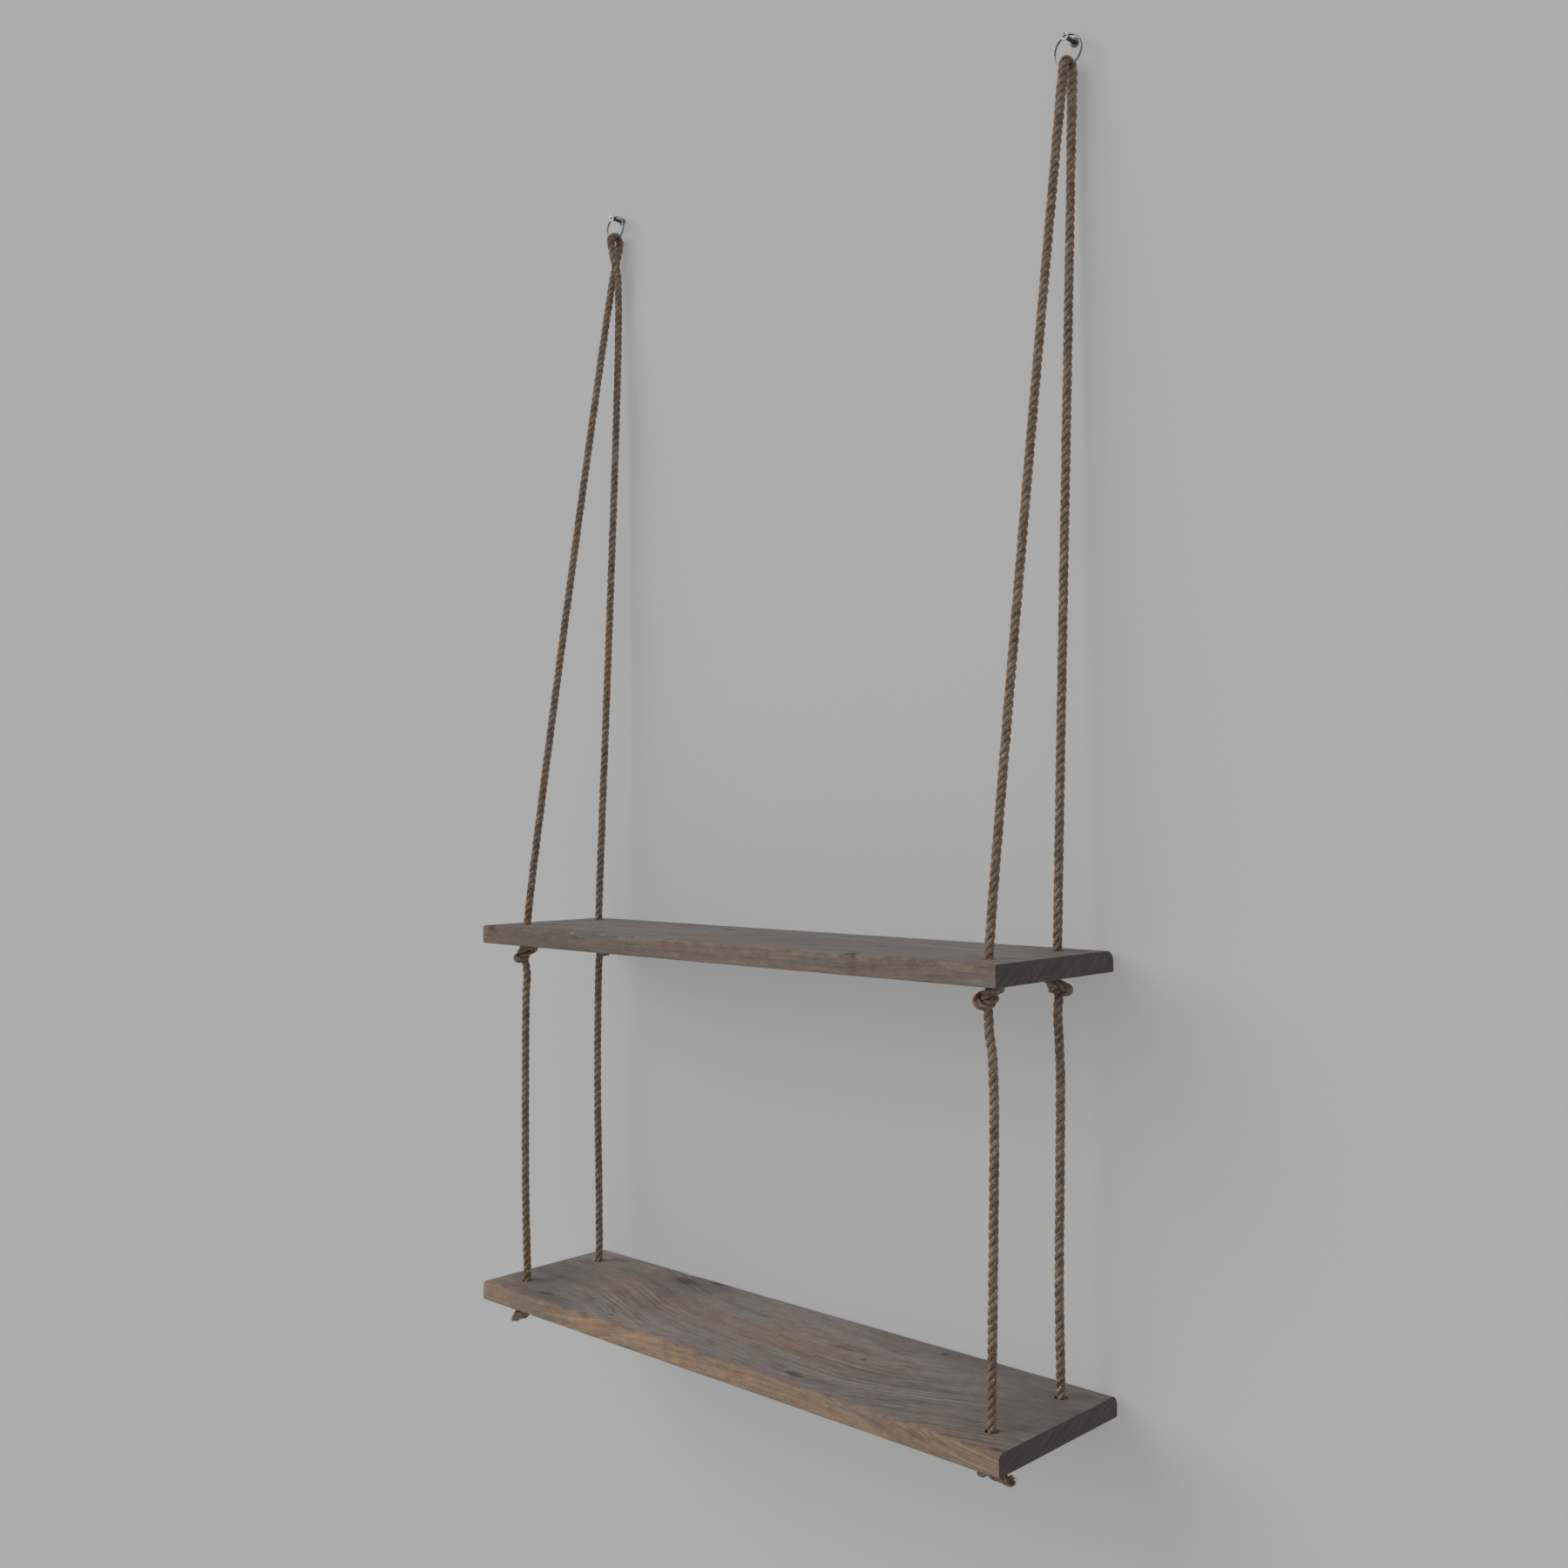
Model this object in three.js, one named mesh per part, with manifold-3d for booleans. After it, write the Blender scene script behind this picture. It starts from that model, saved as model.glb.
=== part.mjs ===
// Hanging rope shelf: two planks on four ropes, hung from two wall screws by split rings.
// Millimetres. X runs along the planks, the front faces -Y, the wall is the plane Y = 0, +Z is up.
// The origin lies on the wall plane, midway between the axes of the two screws.

import * as THREE from 'three';
import { mergeVertices } from 'three/addons/utils/BufferGeometryUtils.js';
import Module from 'manifold-3d';

const wasm = await Module();
wasm.setup();

// Clearances
const seatGap = 0.3;
const cutOverrun = 5;

// Planks
const plankLength = 700;
const plankDepth = 180;
const plankThickness = 20;
const levelSpacing = 396;
const edgeRound = 1.2;
const upperFrontRound = 1.6;
const lowerFrontRound = 4;
const upperBackRoundDepth = 12;
const upperBackRoundHeight = 10;
const lowerBackRoundDepth = 8;
const lowerBackRoundHeight = 9;

// Rope and its holes
const ropeDiameter = 9;
const ropeHoleDiameter = 11;
const holeEndInset = 33;
const frontHoleInset = 36;
const rearHoleInset = 40;
const bridleHeight = 806.4;
const bridleBendRadius = 7;
const bridleCrossingDrop = 45;
const bridleCrossingGap = 1;

// Knots, whose rope is drawn thinner than the free rope
const knotRopeDiameter = 7;
const knotTurnGap = 0.5;

// Wall screws
const screwShankDiameter = 4;
const screwHeadDiameter = 8.6;
const screwHeadRim = 0.5;
const screwHeadTaper = 2.2;
const screwStandOff = 15.3;
const screwLength = 45;
const screwTipLength = 5;
const recessSpan = 4.8;
const recessWidth = 1;
const recessDepth = 1.5;

// Wall plugs
const plugLength = 32;
const plugDiameter = 6.4;
const plugCollarDiameter = 9;
const plugCollarThickness = 1.2;
const plugSmoothLength = 6;
const plugEndWall = 2;
const plugBarbHeight = 0.5;
const plugBarbPitch = 5;
const plugSlotWidth = 0.9;
const plugSlotLength = 20;

// Split rings
const ringOuterDiameter = 30;
const ringWireDiameter = 1.2;
const ringTurnGap = 0.3;
const ringHangGap = 0.5;
const ringWallDistance = 12;

// Facet counts
const ropeSides = 10;
const knotSides = 8;
const tailStepsPerPoint = 2;
const bendSteps = 10;
const crossingSteps = 3;
const wireSides = 6;
const ringSteps = 66;
const holeSides = 24;
const roundSteps = 6;
const turnedSides = 28;
const plugSides = 18;
const bendSphereSides = 12;

// Angles
const fullTurn = 2 * Math.PI;
const quarterTurn = Math.PI / 2;
const ringSplitAngle = THREE.MathUtils.degToRad(250);
const ringStepAngle = THREE.MathUtils.degToRad(16);

// How a loose knot is pulled tight, with lengths in shares of the knot's turn spacing
const tightening = {
  stations: 56,
  firstTurnStation: 14,
  stationsPerPoint: 6,
  rounds: 130,
  passes: 6,
  shorten: 0.5,
  push: 0.8,
  neighbourReach: 1.7,
  holeReach: 0.55,
  highest: -0.5,
  tailStart: -2.1,
  tailBase: -3.3,
};

// A loose overhand knot from the plank's underside down, in shares of the knot's turn spacing:
// down on the left, once round both strands from the bottom up, and down on the right.
const looseKnotShares = [
  [0.00, 0.00, 0.00],
  [-0.15, -0.05, -0.55],
  [-0.45, -0.05, -1.15],
  [-0.65, 0.00, -1.75],
  [-0.70, 0.30, -2.35],
  [-0.35, 0.85, -2.75],
  [0.40, 1.20, -2.65],
  [1.25, 0.85, -2.35],
  [1.70, -0.05, -2.05],
  [1.30, -0.95, -1.80],
  [0.35, -1.35, -1.60],
  [-0.65, -1.25, -1.40],
  [-1.45, -0.60, -1.20],
  [-1.50, 0.40, -1.00],
  [-0.80, 1.10, -0.75],
  [0.10, 1.25, -0.55],
  [0.75, 0.90, -0.65],
  [0.90, 0.30, -1.10],
  [0.70, -0.10, -1.75],
  [0.55, -0.20, -2.40],
  [0.30, -0.15, -3.05],
  [0.05, -0.05, -3.55],
  [0.00, 0.00, -4.00],
];

// The four rope positions on a plank. A knot is turned about the rope, and a lower knot ends in
// a cut tail, whose route goes on below the knot in shares of the turn spacing, not turned.
const corners = [
  {
    name: 'front_left', side: -1, front: true, upperTurn: 210, lowerTurn: 195,
    tailShares: [[-0.30, -0.10, -2.45], [-1.15, -0.45, -2.55], [-1.85, -0.75, -2.95], [-1.95, -0.80, -3.60]],
  },
  {
    name: 'front_right', side: 1, front: true, upperTurn: 232, lowerTurn: 110,
    tailShares: [[0.10, 0.30, -2.30], [1.00, 0.30, -2.30], [2.00, 0.00, -2.20], [3.10, -0.40, -2.00]],
  },
  {
    name: 'rear_left', side: -1, front: false, upperTurn: 330, lowerTurn: 100,
    tailShares: [[0.10, -0.10, -2.65], [0.45, -0.80, -2.90], [0.80, -1.50, -3.20], [1.00, -1.90, -3.70]],
  },
  {
    name: 'rear_right', side: 1, front: false, upperTurn: 60, lowerTurn: 120,
    tailShares: [[-0.10, 0.10, -2.40], [-0.80, 0.50, -2.50], [-1.60, 0.95, -2.60], [-2.40, 1.35, -2.50]],
  },
];

// Worked-out places
const ropeRadius = ropeDiameter / 2;
const wireRadius = ringWireDiameter / 2;
const screwRadius = screwShankDiameter / 2;
const holeX = plankLength / 2 - holeEndInset;
const frontHoleY = frontHoleInset - plankDepth;
const rearHoleY = -rearHoleInset;
const ringY = -ringWallDistance;
const ringMidRadius = ringOuterDiameter / 2 - wireRadius;
const ringTurnOffset = (ringWireDiameter + ringTurnGap) / 2;
const ringTopZ = screwRadius + ringHangGap + wireRadius;
const ringCentreZ = ringTopZ - ringMidRadius;
const ringBottomZ = ringCentreZ - ringMidRadius;
const bridleApexZ = ringBottomZ + wireRadius + seatGap + ropeRadius;
const bridleBendZ = bridleApexZ - bridleBendRadius;
const bridleCrossingZ = bridleBendZ - bridleCrossingDrop;
const bridleCrossingOffset = (ropeDiameter + bridleCrossingGap) / 2;
const upperTopZ = ringBottomZ - bridleHeight;
const upperUndersideZ = upperTopZ - plankThickness;
const lowerTopZ = upperTopZ - levelSpacing;
const lowerUndersideZ = lowerTopZ - plankThickness;
const pivotReach = ropeRadius + seatGap;
const knotTurnSpacing = knotRopeDiameter + knotTurnGap;
const knotHeight = -looseKnotShares.at(-1)[2] * knotTurnSpacing;
const upperPivotZ = upperUndersideZ - knotHeight - pivotReach;

// Materials
const finish = (color, roughness, metalness) =>
  new THREE.MeshStandardMaterial({ color, roughness, metalness });
const weatheredWood = finish(0x75685c, 0.85, 0);
const juteRope = finish(0x74593f, 0.95, 0);
const brightZinc = finish(0xc9ccd0, 0.25, 1);
const springSteel = finish(0x9ea2a6, 0.3, 1);
const plugPlastic = finish(0x4a4b4d, 0.6, 0);

// A route through given stations, one tube step from each station to the next
class StationRoute extends THREE.Curve {
  constructor(stations) {
    super();
    this.stations = stations;
  }

  getPoint(share, target = new THREE.Vector3()) {
    const place = THREE.MathUtils.clamp(share, 0, 1) * (this.stations.length - 1);
    const first = Math.min(Math.floor(place), this.stations.length - 2);
    return target.lerpVectors(this.stations[first], this.stations[first + 1], place - first);
  }

  getPointAt(share, target) {
    return this.getPoint(share, target);
  }

  getTangentAt(share, target = new THREE.Vector3()) {
    const last = this.stations.length - 1;
    const index = Math.round(share * last);
    const before = this.stations[Math.max(index - 1, 0)];
    const after = this.stations[Math.min(index + 1, last)];
    return target.subVectors(after, before).normalize();
  }
}

// A many-sided disc outline
function discShape(radius, sides) {
  const points = [];
  for (let i = 0; i < sides; i += 1) {
    const angle = (i / sides) * fullTurn;
    points.push(new THREE.Vector2(radius * Math.cos(angle), radius * Math.sin(angle)));
  }
  return new THREE.Shape(points);
}

// A closed tube along stations
function tube(stations, diameter, sides) {
  return new THREE.ExtrudeGeometry(discShape(diameter / 2, sides), {
    steps: stations.length - 1,
    bevelEnabled: false,
    extrudePath: new StationRoute(stations),
  });
}

// Closed mesh to solid and back
function toSolid(geometry) {
  const bare = geometry.clone();
  bare.deleteAttribute('normal');
  bare.deleteAttribute('uv');
  const merged = mergeVertices(bare);
  const mesh = new wasm.Mesh({
    numProp: 3,
    vertProperties: new Float32Array(merged.attributes.position.array),
    triVerts: new Uint32Array(merged.index.array),
  });
  return new wasm.Manifold(mesh);
}

function toGeometry(solid) {
  const mesh = solid.getMesh();
  const geometry = new THREE.BufferGeometry();
  geometry.setAttribute('position', new THREE.BufferAttribute(new Float32Array(mesh.vertProperties), 3));
  geometry.setIndex(new THREE.BufferAttribute(new Uint32Array(mesh.triVerts), 1));
  const flat = geometry.toNonIndexed();
  flat.computeVertexNormals();
  return flat;
}

function join(geometries) {
  return toGeometry(geometries.map(toSolid).reduce((whole, next) => whole.add(next)));
}

function cut(geometry, tools) {
  return toGeometry(tools.map(toSolid).reduce((whole, tool) => whole.subtract(tool), toSolid(geometry)));
}

// Parts list
const shelf = new THREE.Group();
function addPart(name, geometry, material) {
  const mesh = new THREE.Mesh(geometry, material);
  mesh.name = name;
  shelf.add(mesh);
}

// Planks: the section is drawn front to back, with worn edges and a rounded top back edge
function plankSection(frontRound, backRoundDepth, backRoundHeight) {
  const section = new THREE.Shape();
  section.moveTo(-plankDepth, edgeRound - plankThickness);
  section.quadraticCurveTo(-plankDepth, -plankThickness, edgeRound - plankDepth, -plankThickness);
  section.lineTo(-edgeRound, -plankThickness);
  section.quadraticCurveTo(0, -plankThickness, 0, edgeRound - plankThickness);
  section.lineTo(0, -backRoundHeight);
  section.absellipse(-backRoundDepth, -backRoundHeight, backRoundDepth, backRoundHeight, 0, quarterTurn);
  section.lineTo(frontRound - plankDepth, 0);
  section.absellipse(frontRound - plankDepth, -frontRound, frontRound, frontRound, quarterTurn, Math.PI);
  section.closePath();
  return section;
}

function plankHole(x, y) {
  const depth = plankThickness + 2 * cutOverrun;
  const tool = new THREE.CylinderGeometry(ropeHoleDiameter / 2, ropeHoleDiameter / 2, depth, holeSides);
  tool.rotateX(quarterTurn);
  tool.translate(x, y, -plankThickness / 2);
  return tool;
}

function plank(topZ, frontRound, backRoundDepth, backRoundHeight) {
  const body = new THREE.ExtrudeGeometry(plankSection(frontRound, backRoundDepth, backRoundHeight), {
    depth: plankLength,
    bevelEnabled: false,
    curveSegments: roundSteps,
  });
  // The section's axes become Y and Z, and its extrusion runs along X
  body.applyMatrix4(new THREE.Matrix4().set(0, 0, 1, -plankLength / 2, 1, 0, 0, 0, 0, 1, 0, 0, 0, 0, 0, 1));
  const holes = corners.map((corner) => plankHole(cornerX(corner), cornerY(corner)));
  const geometry = cut(body, holes);
  geometry.translate(0, 0, topZ);
  return geometry;
}

function cornerX(corner) {
  return corner.side * holeX;
}

function cornerY(corner) {
  return corner.front ? frontHoleY : rearHoleY;
}

// Bridles: up from the front hole, over the ring's lower wire and down to the rear hole
function tangentPoint(fromY, fromZ, towards) {
  const spanY = fromY - ringY;
  const spanZ = fromZ - bridleBendZ;
  const span = Math.hypot(spanY, spanZ);
  return Math.atan2(spanZ, spanY) + towards * Math.acos(bridleBendRadius / span);
}

function bridleBend(x, start, end) {
  const stations = [];
  for (let i = 0; i <= bendSteps; i += 1) {
    const angle = start + ((end - start) * i) / bendSteps;
    stations.push(new THREE.Vector3(
      x,
      ringY + bridleBendRadius * Math.cos(angle),
      bridleBendZ + bridleBendRadius * Math.sin(angle),
    ));
  }
  return stations;
}

function openBridleStations(x) {
  const start = THREE.MathUtils.euclideanModulo(tangentPoint(frontHoleY, upperTopZ, -1), fullTurn);
  const end = tangentPoint(rearHoleY, upperTopZ, 1);
  return bridleBend(x, start, THREE.MathUtils.euclideanModulo(end + quarterTurn, fullTurn) - quarterTurn);
}

// From where the strands lie side by side up to the ring, where they lie one behind the other
function crossingStations(x, side) {
  const stations = [];
  for (let i = 0; i < crossingSteps; i += 1) {
    const angle = (quarterTurn * i) / crossingSteps;
    stations.push(new THREE.Vector3(
      x + side * bridleCrossingOffset * Math.cos(angle),
      ringY - side * bridleBendRadius * Math.sin(angle),
      bridleCrossingZ + (bridleCrossingDrop * i) / crossingSteps,
    ));
  }
  return stations;
}

// Half a turn in the bridle: the front strand passes the rear one and goes up behind it
function crossedBridleStations(x) {
  return [
    ...crossingStations(x, -1),
    ...bridleBend(x, 0, fullTurn / 2),
    ...crossingStations(x, 1).reverse(),
  ];
}

// A round rope end, on which the rope swings in the mouth of its hole
function ropeBall(x, y, z) {
  const ball = new THREE.SphereGeometry(ropeRadius, bendSphereSides, bendSphereSides / 2);
  ball.rotateX(quarterTurn);
  ball.translate(x, y, z);
  return ball;
}

function bridle(x, crossed) {
  const stations = [
    new THREE.Vector3(x, frontHoleY, upperTopZ),
    ...(crossed ? crossedBridleStations(x) : openBridleStations(x)),
    new THREE.Vector3(x, rearHoleY, upperTopZ),
  ];
  return join([
    tube(stations, ropeDiameter, ropeSides),
    ropeBall(x, frontHoleY, upperTopZ),
    ropeBall(x, rearHoleY, upperTopZ),
  ]);
}

// Knots
function evenStations(route, count) {
  const lengths = [0];
  route.slice(1).forEach((point, i) => lengths.push(lengths[i] + point.distanceTo(route[i])));
  const stations = [];
  let span = 0;
  for (let i = 0; i <= count; i += 1) {
    const along = (lengths.at(-1) * i) / count;
    while (span < route.length - 2 && lengths[span + 1] < along) {
      span += 1;
    }
    const share = (along - lengths[span]) / (lengths[span + 1] - lengths[span]);
    stations.push(new THREE.Vector3().lerpVectors(route[span], route[span + 1], Math.min(share, 1)));
  }
  return stations;
}

function shortened(stations) {
  return stations.map((station, i) => {
    if (i === 0 || i === stations.length - 1) {
      return station.clone();
    }
    const between = new THREE.Vector3().addVectors(stations[i - 1], stations[i + 1]).divideScalar(2);
    return station.clone().lerp(between, tightening.shorten);
  });
}

// Moves turns that are nearer than one spacing apart, and keeps them below the plank
function pressApart(stations, step) {
  const apart = Math.ceil(tightening.neighbourReach / step);
  const pushes = stations.map(() => new THREE.Vector3());
  const counts = stations.map(() => 0);
  stations.forEach((station, i) => {
    for (let j = i + apart; j < stations.length; j += 1) {
      const distance = station.distanceTo(stations[j]);
      if (distance < 1) {
        const push = new THREE.Vector3().subVectors(station, stations[j]);
        push.multiplyScalar((1 - distance) / distance);
        pushes[i].add(push);
        pushes[j].sub(push);
        counts[i] += 1;
        counts[j] += 1;
      }
    }
  });
  stations.forEach((station, i) => {
    if (counts[i] > 0 && i > 0 && i < stations.length - 1) {
      station.addScaledVector(pushes[i], tightening.push / counts[i]);
    }
    if (i * step > tightening.holeReach) {
      station.z = Math.min(station.z, tightening.highest);
    }
  });
}

// Pulls a knot tight: its rope shortens until the turns rest on each other
function tightened(route) {
  let stations = evenStations(route, tightening.stations);
  for (let round = 0; round < tightening.rounds; round += 1) {
    const step = stations[0].distanceTo(stations[1]);
    stations = shortened(stations);
    for (let pass = 0; pass < tightening.passes; pass += 1) {
      pressApart(stations, step);
    }
    stations = evenStations(stations, tightening.stations);
  }
  return stations;
}

// Lifts a tight knot so that its highest turn rests under the plank
function seated(stations) {
  const turns = stations.slice(tightening.firstTurnStation);
  const highest = Math.max(...turns.map((station) => station.z));
  const seat = -(knotRopeDiameter / 2 + seatGap) / knotTurnSpacing;
  const lift = new THREE.Vector3(0, 0, seat - highest);
  return stations.map((station) => station.clone().add(lift));
}

function smoothStations(points, stepsPerPoint) {
  return new THREE.CatmullRomCurve3(points).getPoints((points.length - 1) * stepsPerPoint);
}

const looseKnot = looseKnotShares.map((shares) => new THREE.Vector3(...shares));
const tightKnot = seated(tightened(smoothStations(looseKnot, tightening.stationsPerPoint)));

function knotPlace(station, x, y, topZ) {
  return station.clone().multiplyScalar(knotTurnSpacing).add(new THREE.Vector3(x, y, topZ));
}

function turnedKnot(turn) {
  const axis = new THREE.Vector3(0, 0, 1);
  return tightKnot.map((station) => station.clone().applyAxisAngle(axis, THREE.MathUtils.degToRad(turn)));
}

// The least gap of a knot's rope to itself, measured between stations further apart along it
// than two turn spacings
function leastGap(stations, diameter) {
  let least = Infinity;
  stations.forEach((station, i) => {
    let along = 0;
    for (let j = i + 1; j < stations.length; j += 1) {
      along += stations[j].distanceTo(stations[j - 1]);
      if (along > 2 * knotTurnSpacing) {
        least = Math.min(least, stations[j].distanceTo(station) - diameter);
      }
    }
  });
  return least;
}

// A knot in the knot's thin rope, then its exit or tail in the free rope's diameter
function knotWithRope(x, y, holeTopZ, undersideZ, turn, tailShares) {
  const knot = turnedKnot(turn);
  const tail = tailShares.map((shares) => new THREE.Vector3(...shares));
  const lowest = tail.length > 0 ? tightening.tailStart : tightening.tailBase;
  const leaving = knot.findLastIndex((station) => station.z > lowest);
  const wrap = knot.slice(0, leaving + 1);
  const end = tail.length > 0
    ? smoothStations([knot[leaving], ...tail], tailStepsPerPoint)
    : [...knot.slice(leaving), looseKnot.at(-1)];
  const place = (station) => knotPlace(station, x, y, undersideZ);
  const stub = [
    new THREE.Vector3(x, y, holeTopZ - pivotReach),
    new THREE.Vector3(x, y, undersideZ + seatGap),
  ];
  const lead = new THREE.Vector3(x, y, undersideZ + ropeRadius);
  return {
    gap: leastGap(wrap.map(place), knotRopeDiameter),
    geometry: join([
      tube(stub, ropeDiameter, ropeSides),
      tube([lead, ...wrap.map(place)], knotRopeDiameter, knotSides),
      tube(end.map(place), ropeDiameter, ropeSides),
    ]),
  };
}

// Ropes between the planks
function hangingRope(corner, endsInBall) {
  const x = cornerX(corner);
  const y = cornerY(corner);
  const bottomZ = endsInBall ? lowerTopZ : lowerTopZ + pivotReach;
  const stations = [
    new THREE.Vector3(x, y, upperPivotZ - pivotReach),
    new THREE.Vector3(x, y, bottomZ),
  ];
  const rope = tube(stations, ropeDiameter, ropeSides);
  return endsInBall ? join([rope, ropeBall(x, y, lowerTopZ)]) : rope;
}

// Split ring: two turns of wire side by side, stepping over from one to the other at the split
function splitRing(x) {
  const stations = [];
  const sweep = 2 * fullTurn - 2 * ringStepAngle;
  for (let i = 0; i <= ringSteps; i += 1) {
    const angle = ringStepAngle + (sweep * i) / ringSteps;
    const step = THREE.MathUtils.smoothstep(angle, fullTurn - ringStepAngle, fullTurn + ringStepAngle);
    const around = ringSplitAngle + angle;
    stations.push(new THREE.Vector3(
      x + ringMidRadius * Math.sin(around),
      ringY + ringTurnOffset * (2 * step - 1),
      ringCentreZ + ringMidRadius * Math.cos(around),
    ));
  }
  return tube(stations, ringWireDiameter, wireSides);
}

// Turned pieces: a profile of radius and distance from the wall plane, round the screw's axis
function turned(profile, x, sides) {
  const points = profile.map(([radius, y]) => new THREE.Vector2(radius, y));
  const geometry = new THREE.LatheGeometry(points, sides);
  geometry.translate(x, 0, 0);
  return geometry;
}

// Wall screw: countersunk head with a cross recess, plain shank and pointed tip in the plug
function wallScrew(x) {
  const headUndersideY = -screwStandOff;
  const headY = headUndersideY - screwHeadTaper - screwHeadRim;
  const tipY = headY + screwLength;
  const body = turned([
    [0, headY],
    [screwHeadDiameter / 2, headY],
    [screwHeadDiameter / 2, headY + screwHeadRim],
    [screwRadius, headUndersideY],
    [screwRadius, tipY - screwTipLength],
    [0, tipY],
  ], x, turnedSides);
  const slots = [[recessSpan, recessWidth], [recessWidth, recessSpan]].map(([width, height]) => {
    const slot = new THREE.BoxGeometry(width, recessDepth + cutOverrun, height);
    slot.translate(x, headY + recessDepth - (recessDepth + cutOverrun) / 2, 0);
    return slot;
  });
  return cut(body, slots);
}

// Wall plug: a collar on the wall, then a barbed sleeve that a slot lets spread
function wallPlug(x) {
  const outer = plugDiameter / 2;
  const bore = screwRadius + seatGap;
  const profile = [
    [bore, -plugCollarThickness],
    [plugCollarDiameter / 2, -plugCollarThickness],
    [plugCollarDiameter / 2, 0],
    [outer, 0],
  ];
  for (let y = plugSmoothLength; y + plugBarbPitch <= plugLength - plugEndWall; y += plugBarbPitch) {
    profile.push([outer, y]);
    profile.push([outer + plugBarbHeight, y]);
    profile.push([outer, y + plugBarbPitch / 2]);
  }
  profile.push([outer, plugLength - plugEndWall]);
  profile.push([outer - plugEndWall / 2, plugLength]);
  profile.push([0, plugLength]);
  profile.push([0, plugLength - plugEndWall]);
  profile.push([bore, plugLength - plugEndWall]);
  profile.push([bore, -plugCollarThickness]);
  const slot = new THREE.BoxGeometry(plugSlotWidth, plugSlotLength, plugCollarDiameter + cutOverrun);
  slot.translate(x, plugLength - plugEndWall - plugSlotLength / 2, 0);
  return cut(turned(profile, x, plugSides), [slot]);
}

// Assembly
addPart('upper_board', plank(upperTopZ, upperFrontRound, upperBackRoundDepth, upperBackRoundHeight), weatheredWood);
addPart('lower_board', plank(lowerTopZ, lowerFrontRound, lowerBackRoundDepth, lowerBackRoundHeight), weatheredWood);

for (const [name, side] of [['left', -1], ['right', 1]]) {
  addPart(`wall_plug_${name}`, wallPlug(side * holeX), plugPlastic);
  addPart(`wall_screw_${name}`, wallScrew(side * holeX), brightZinc);
  addPart(`split_ring_${name}`, splitRing(side * holeX), springSteel);
  addPart(`bridle_rope_${name}`, bridle(side * holeX, name === 'left'), juteRope);
}

const knotGaps = [];
for (const corner of corners) {
  const x = cornerX(corner);
  const y = cornerY(corner);
  const carriesPlank = corner.name === 'front_left';
  const upper = knotWithRope(x, y, upperTopZ, upperUndersideZ, corner.upperTurn, []);
  const lower = knotWithRope(x, y, lowerTopZ, lowerUndersideZ, corner.lowerTurn, corner.tailShares);
  knotGaps.push(upper.gap, lower.gap);
  addPart(`upper_knot_${corner.name}`, upper.geometry, juteRope);
  addPart(`rope_bend_${corner.name}`, ropeBall(x, y, upperPivotZ), juteRope);
  addPart(`hanging_rope_${corner.name}`, hangingRope(corner, !carriesPlank), juteRope);
  if (carriesPlank) {
    addPart(`lower_rope_bend_${corner.name}`, ropeBall(x, y, lowerTopZ), juteRope);
  }
  addPart(`lower_knot_${corner.name}`, lower.geometry, juteRope);
}
console.log(`knots: least gap of the rope to itself ${Math.min(...knotGaps).toFixed(2)} mm`);

export default shelf;
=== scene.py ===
"""Looks for the hanging rope shelf. Metres; X runs along the planks, the wall is Y = 0, +Z is up."""

import math
from dataclasses import dataclass

import bmesh
import bpy
import mathutils.noise
import numpy as np
from mathutils import Matrix, Vector


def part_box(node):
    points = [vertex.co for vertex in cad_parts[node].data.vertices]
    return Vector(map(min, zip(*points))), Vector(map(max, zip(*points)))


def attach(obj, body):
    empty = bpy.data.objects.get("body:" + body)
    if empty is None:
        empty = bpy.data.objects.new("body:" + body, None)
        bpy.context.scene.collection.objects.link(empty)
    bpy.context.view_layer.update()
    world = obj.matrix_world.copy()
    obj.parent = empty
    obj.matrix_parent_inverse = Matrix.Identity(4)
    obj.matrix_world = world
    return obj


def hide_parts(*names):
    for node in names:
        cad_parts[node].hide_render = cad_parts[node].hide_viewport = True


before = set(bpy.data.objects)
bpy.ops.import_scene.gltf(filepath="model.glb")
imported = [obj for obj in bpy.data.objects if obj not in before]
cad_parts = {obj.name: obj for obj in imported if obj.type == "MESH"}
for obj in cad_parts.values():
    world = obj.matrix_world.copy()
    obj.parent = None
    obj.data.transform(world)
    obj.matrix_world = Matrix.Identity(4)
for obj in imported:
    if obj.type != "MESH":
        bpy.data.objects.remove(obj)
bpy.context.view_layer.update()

# Seeded, so that every run gives the same fibres
rng = np.random.default_rng(4)

MM = 0.001
CORNERS = ("front_left", "front_right", "rear_left", "rear_right")
SIDES = ("left", "right")


def srgb(*levels):
    """A colour as it looks on screen, from 0 to 255, as linear RGBA."""
    linear = []
    for value in levels:
        value /= 255
        linear.append(value / 12.92 if value <= 0.04045 else ((value + 0.055) / 1.055) ** 2.4)
    return (*linear, 1.0)


def middle(node):
    low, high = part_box(node)
    return (np.array(low) + np.array(high)) / 2


# Camera at the photograph's viewpoint, for a square frame of 1800 pixels
PHOTO_WIDTH = 1800
CAMERA_PLACE = (1.1063, -1.2309, -0.7082)
CAMERA_AZIMUTH = math.radians(43.35)
CAMERA_ELEVATION = math.radians(1.057)
CAMERA_ROLL = math.radians(-0.247)
CAMERA_FOCAL_PIXELS = 1806.9
SENSOR_WIDTH = 36.0

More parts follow.
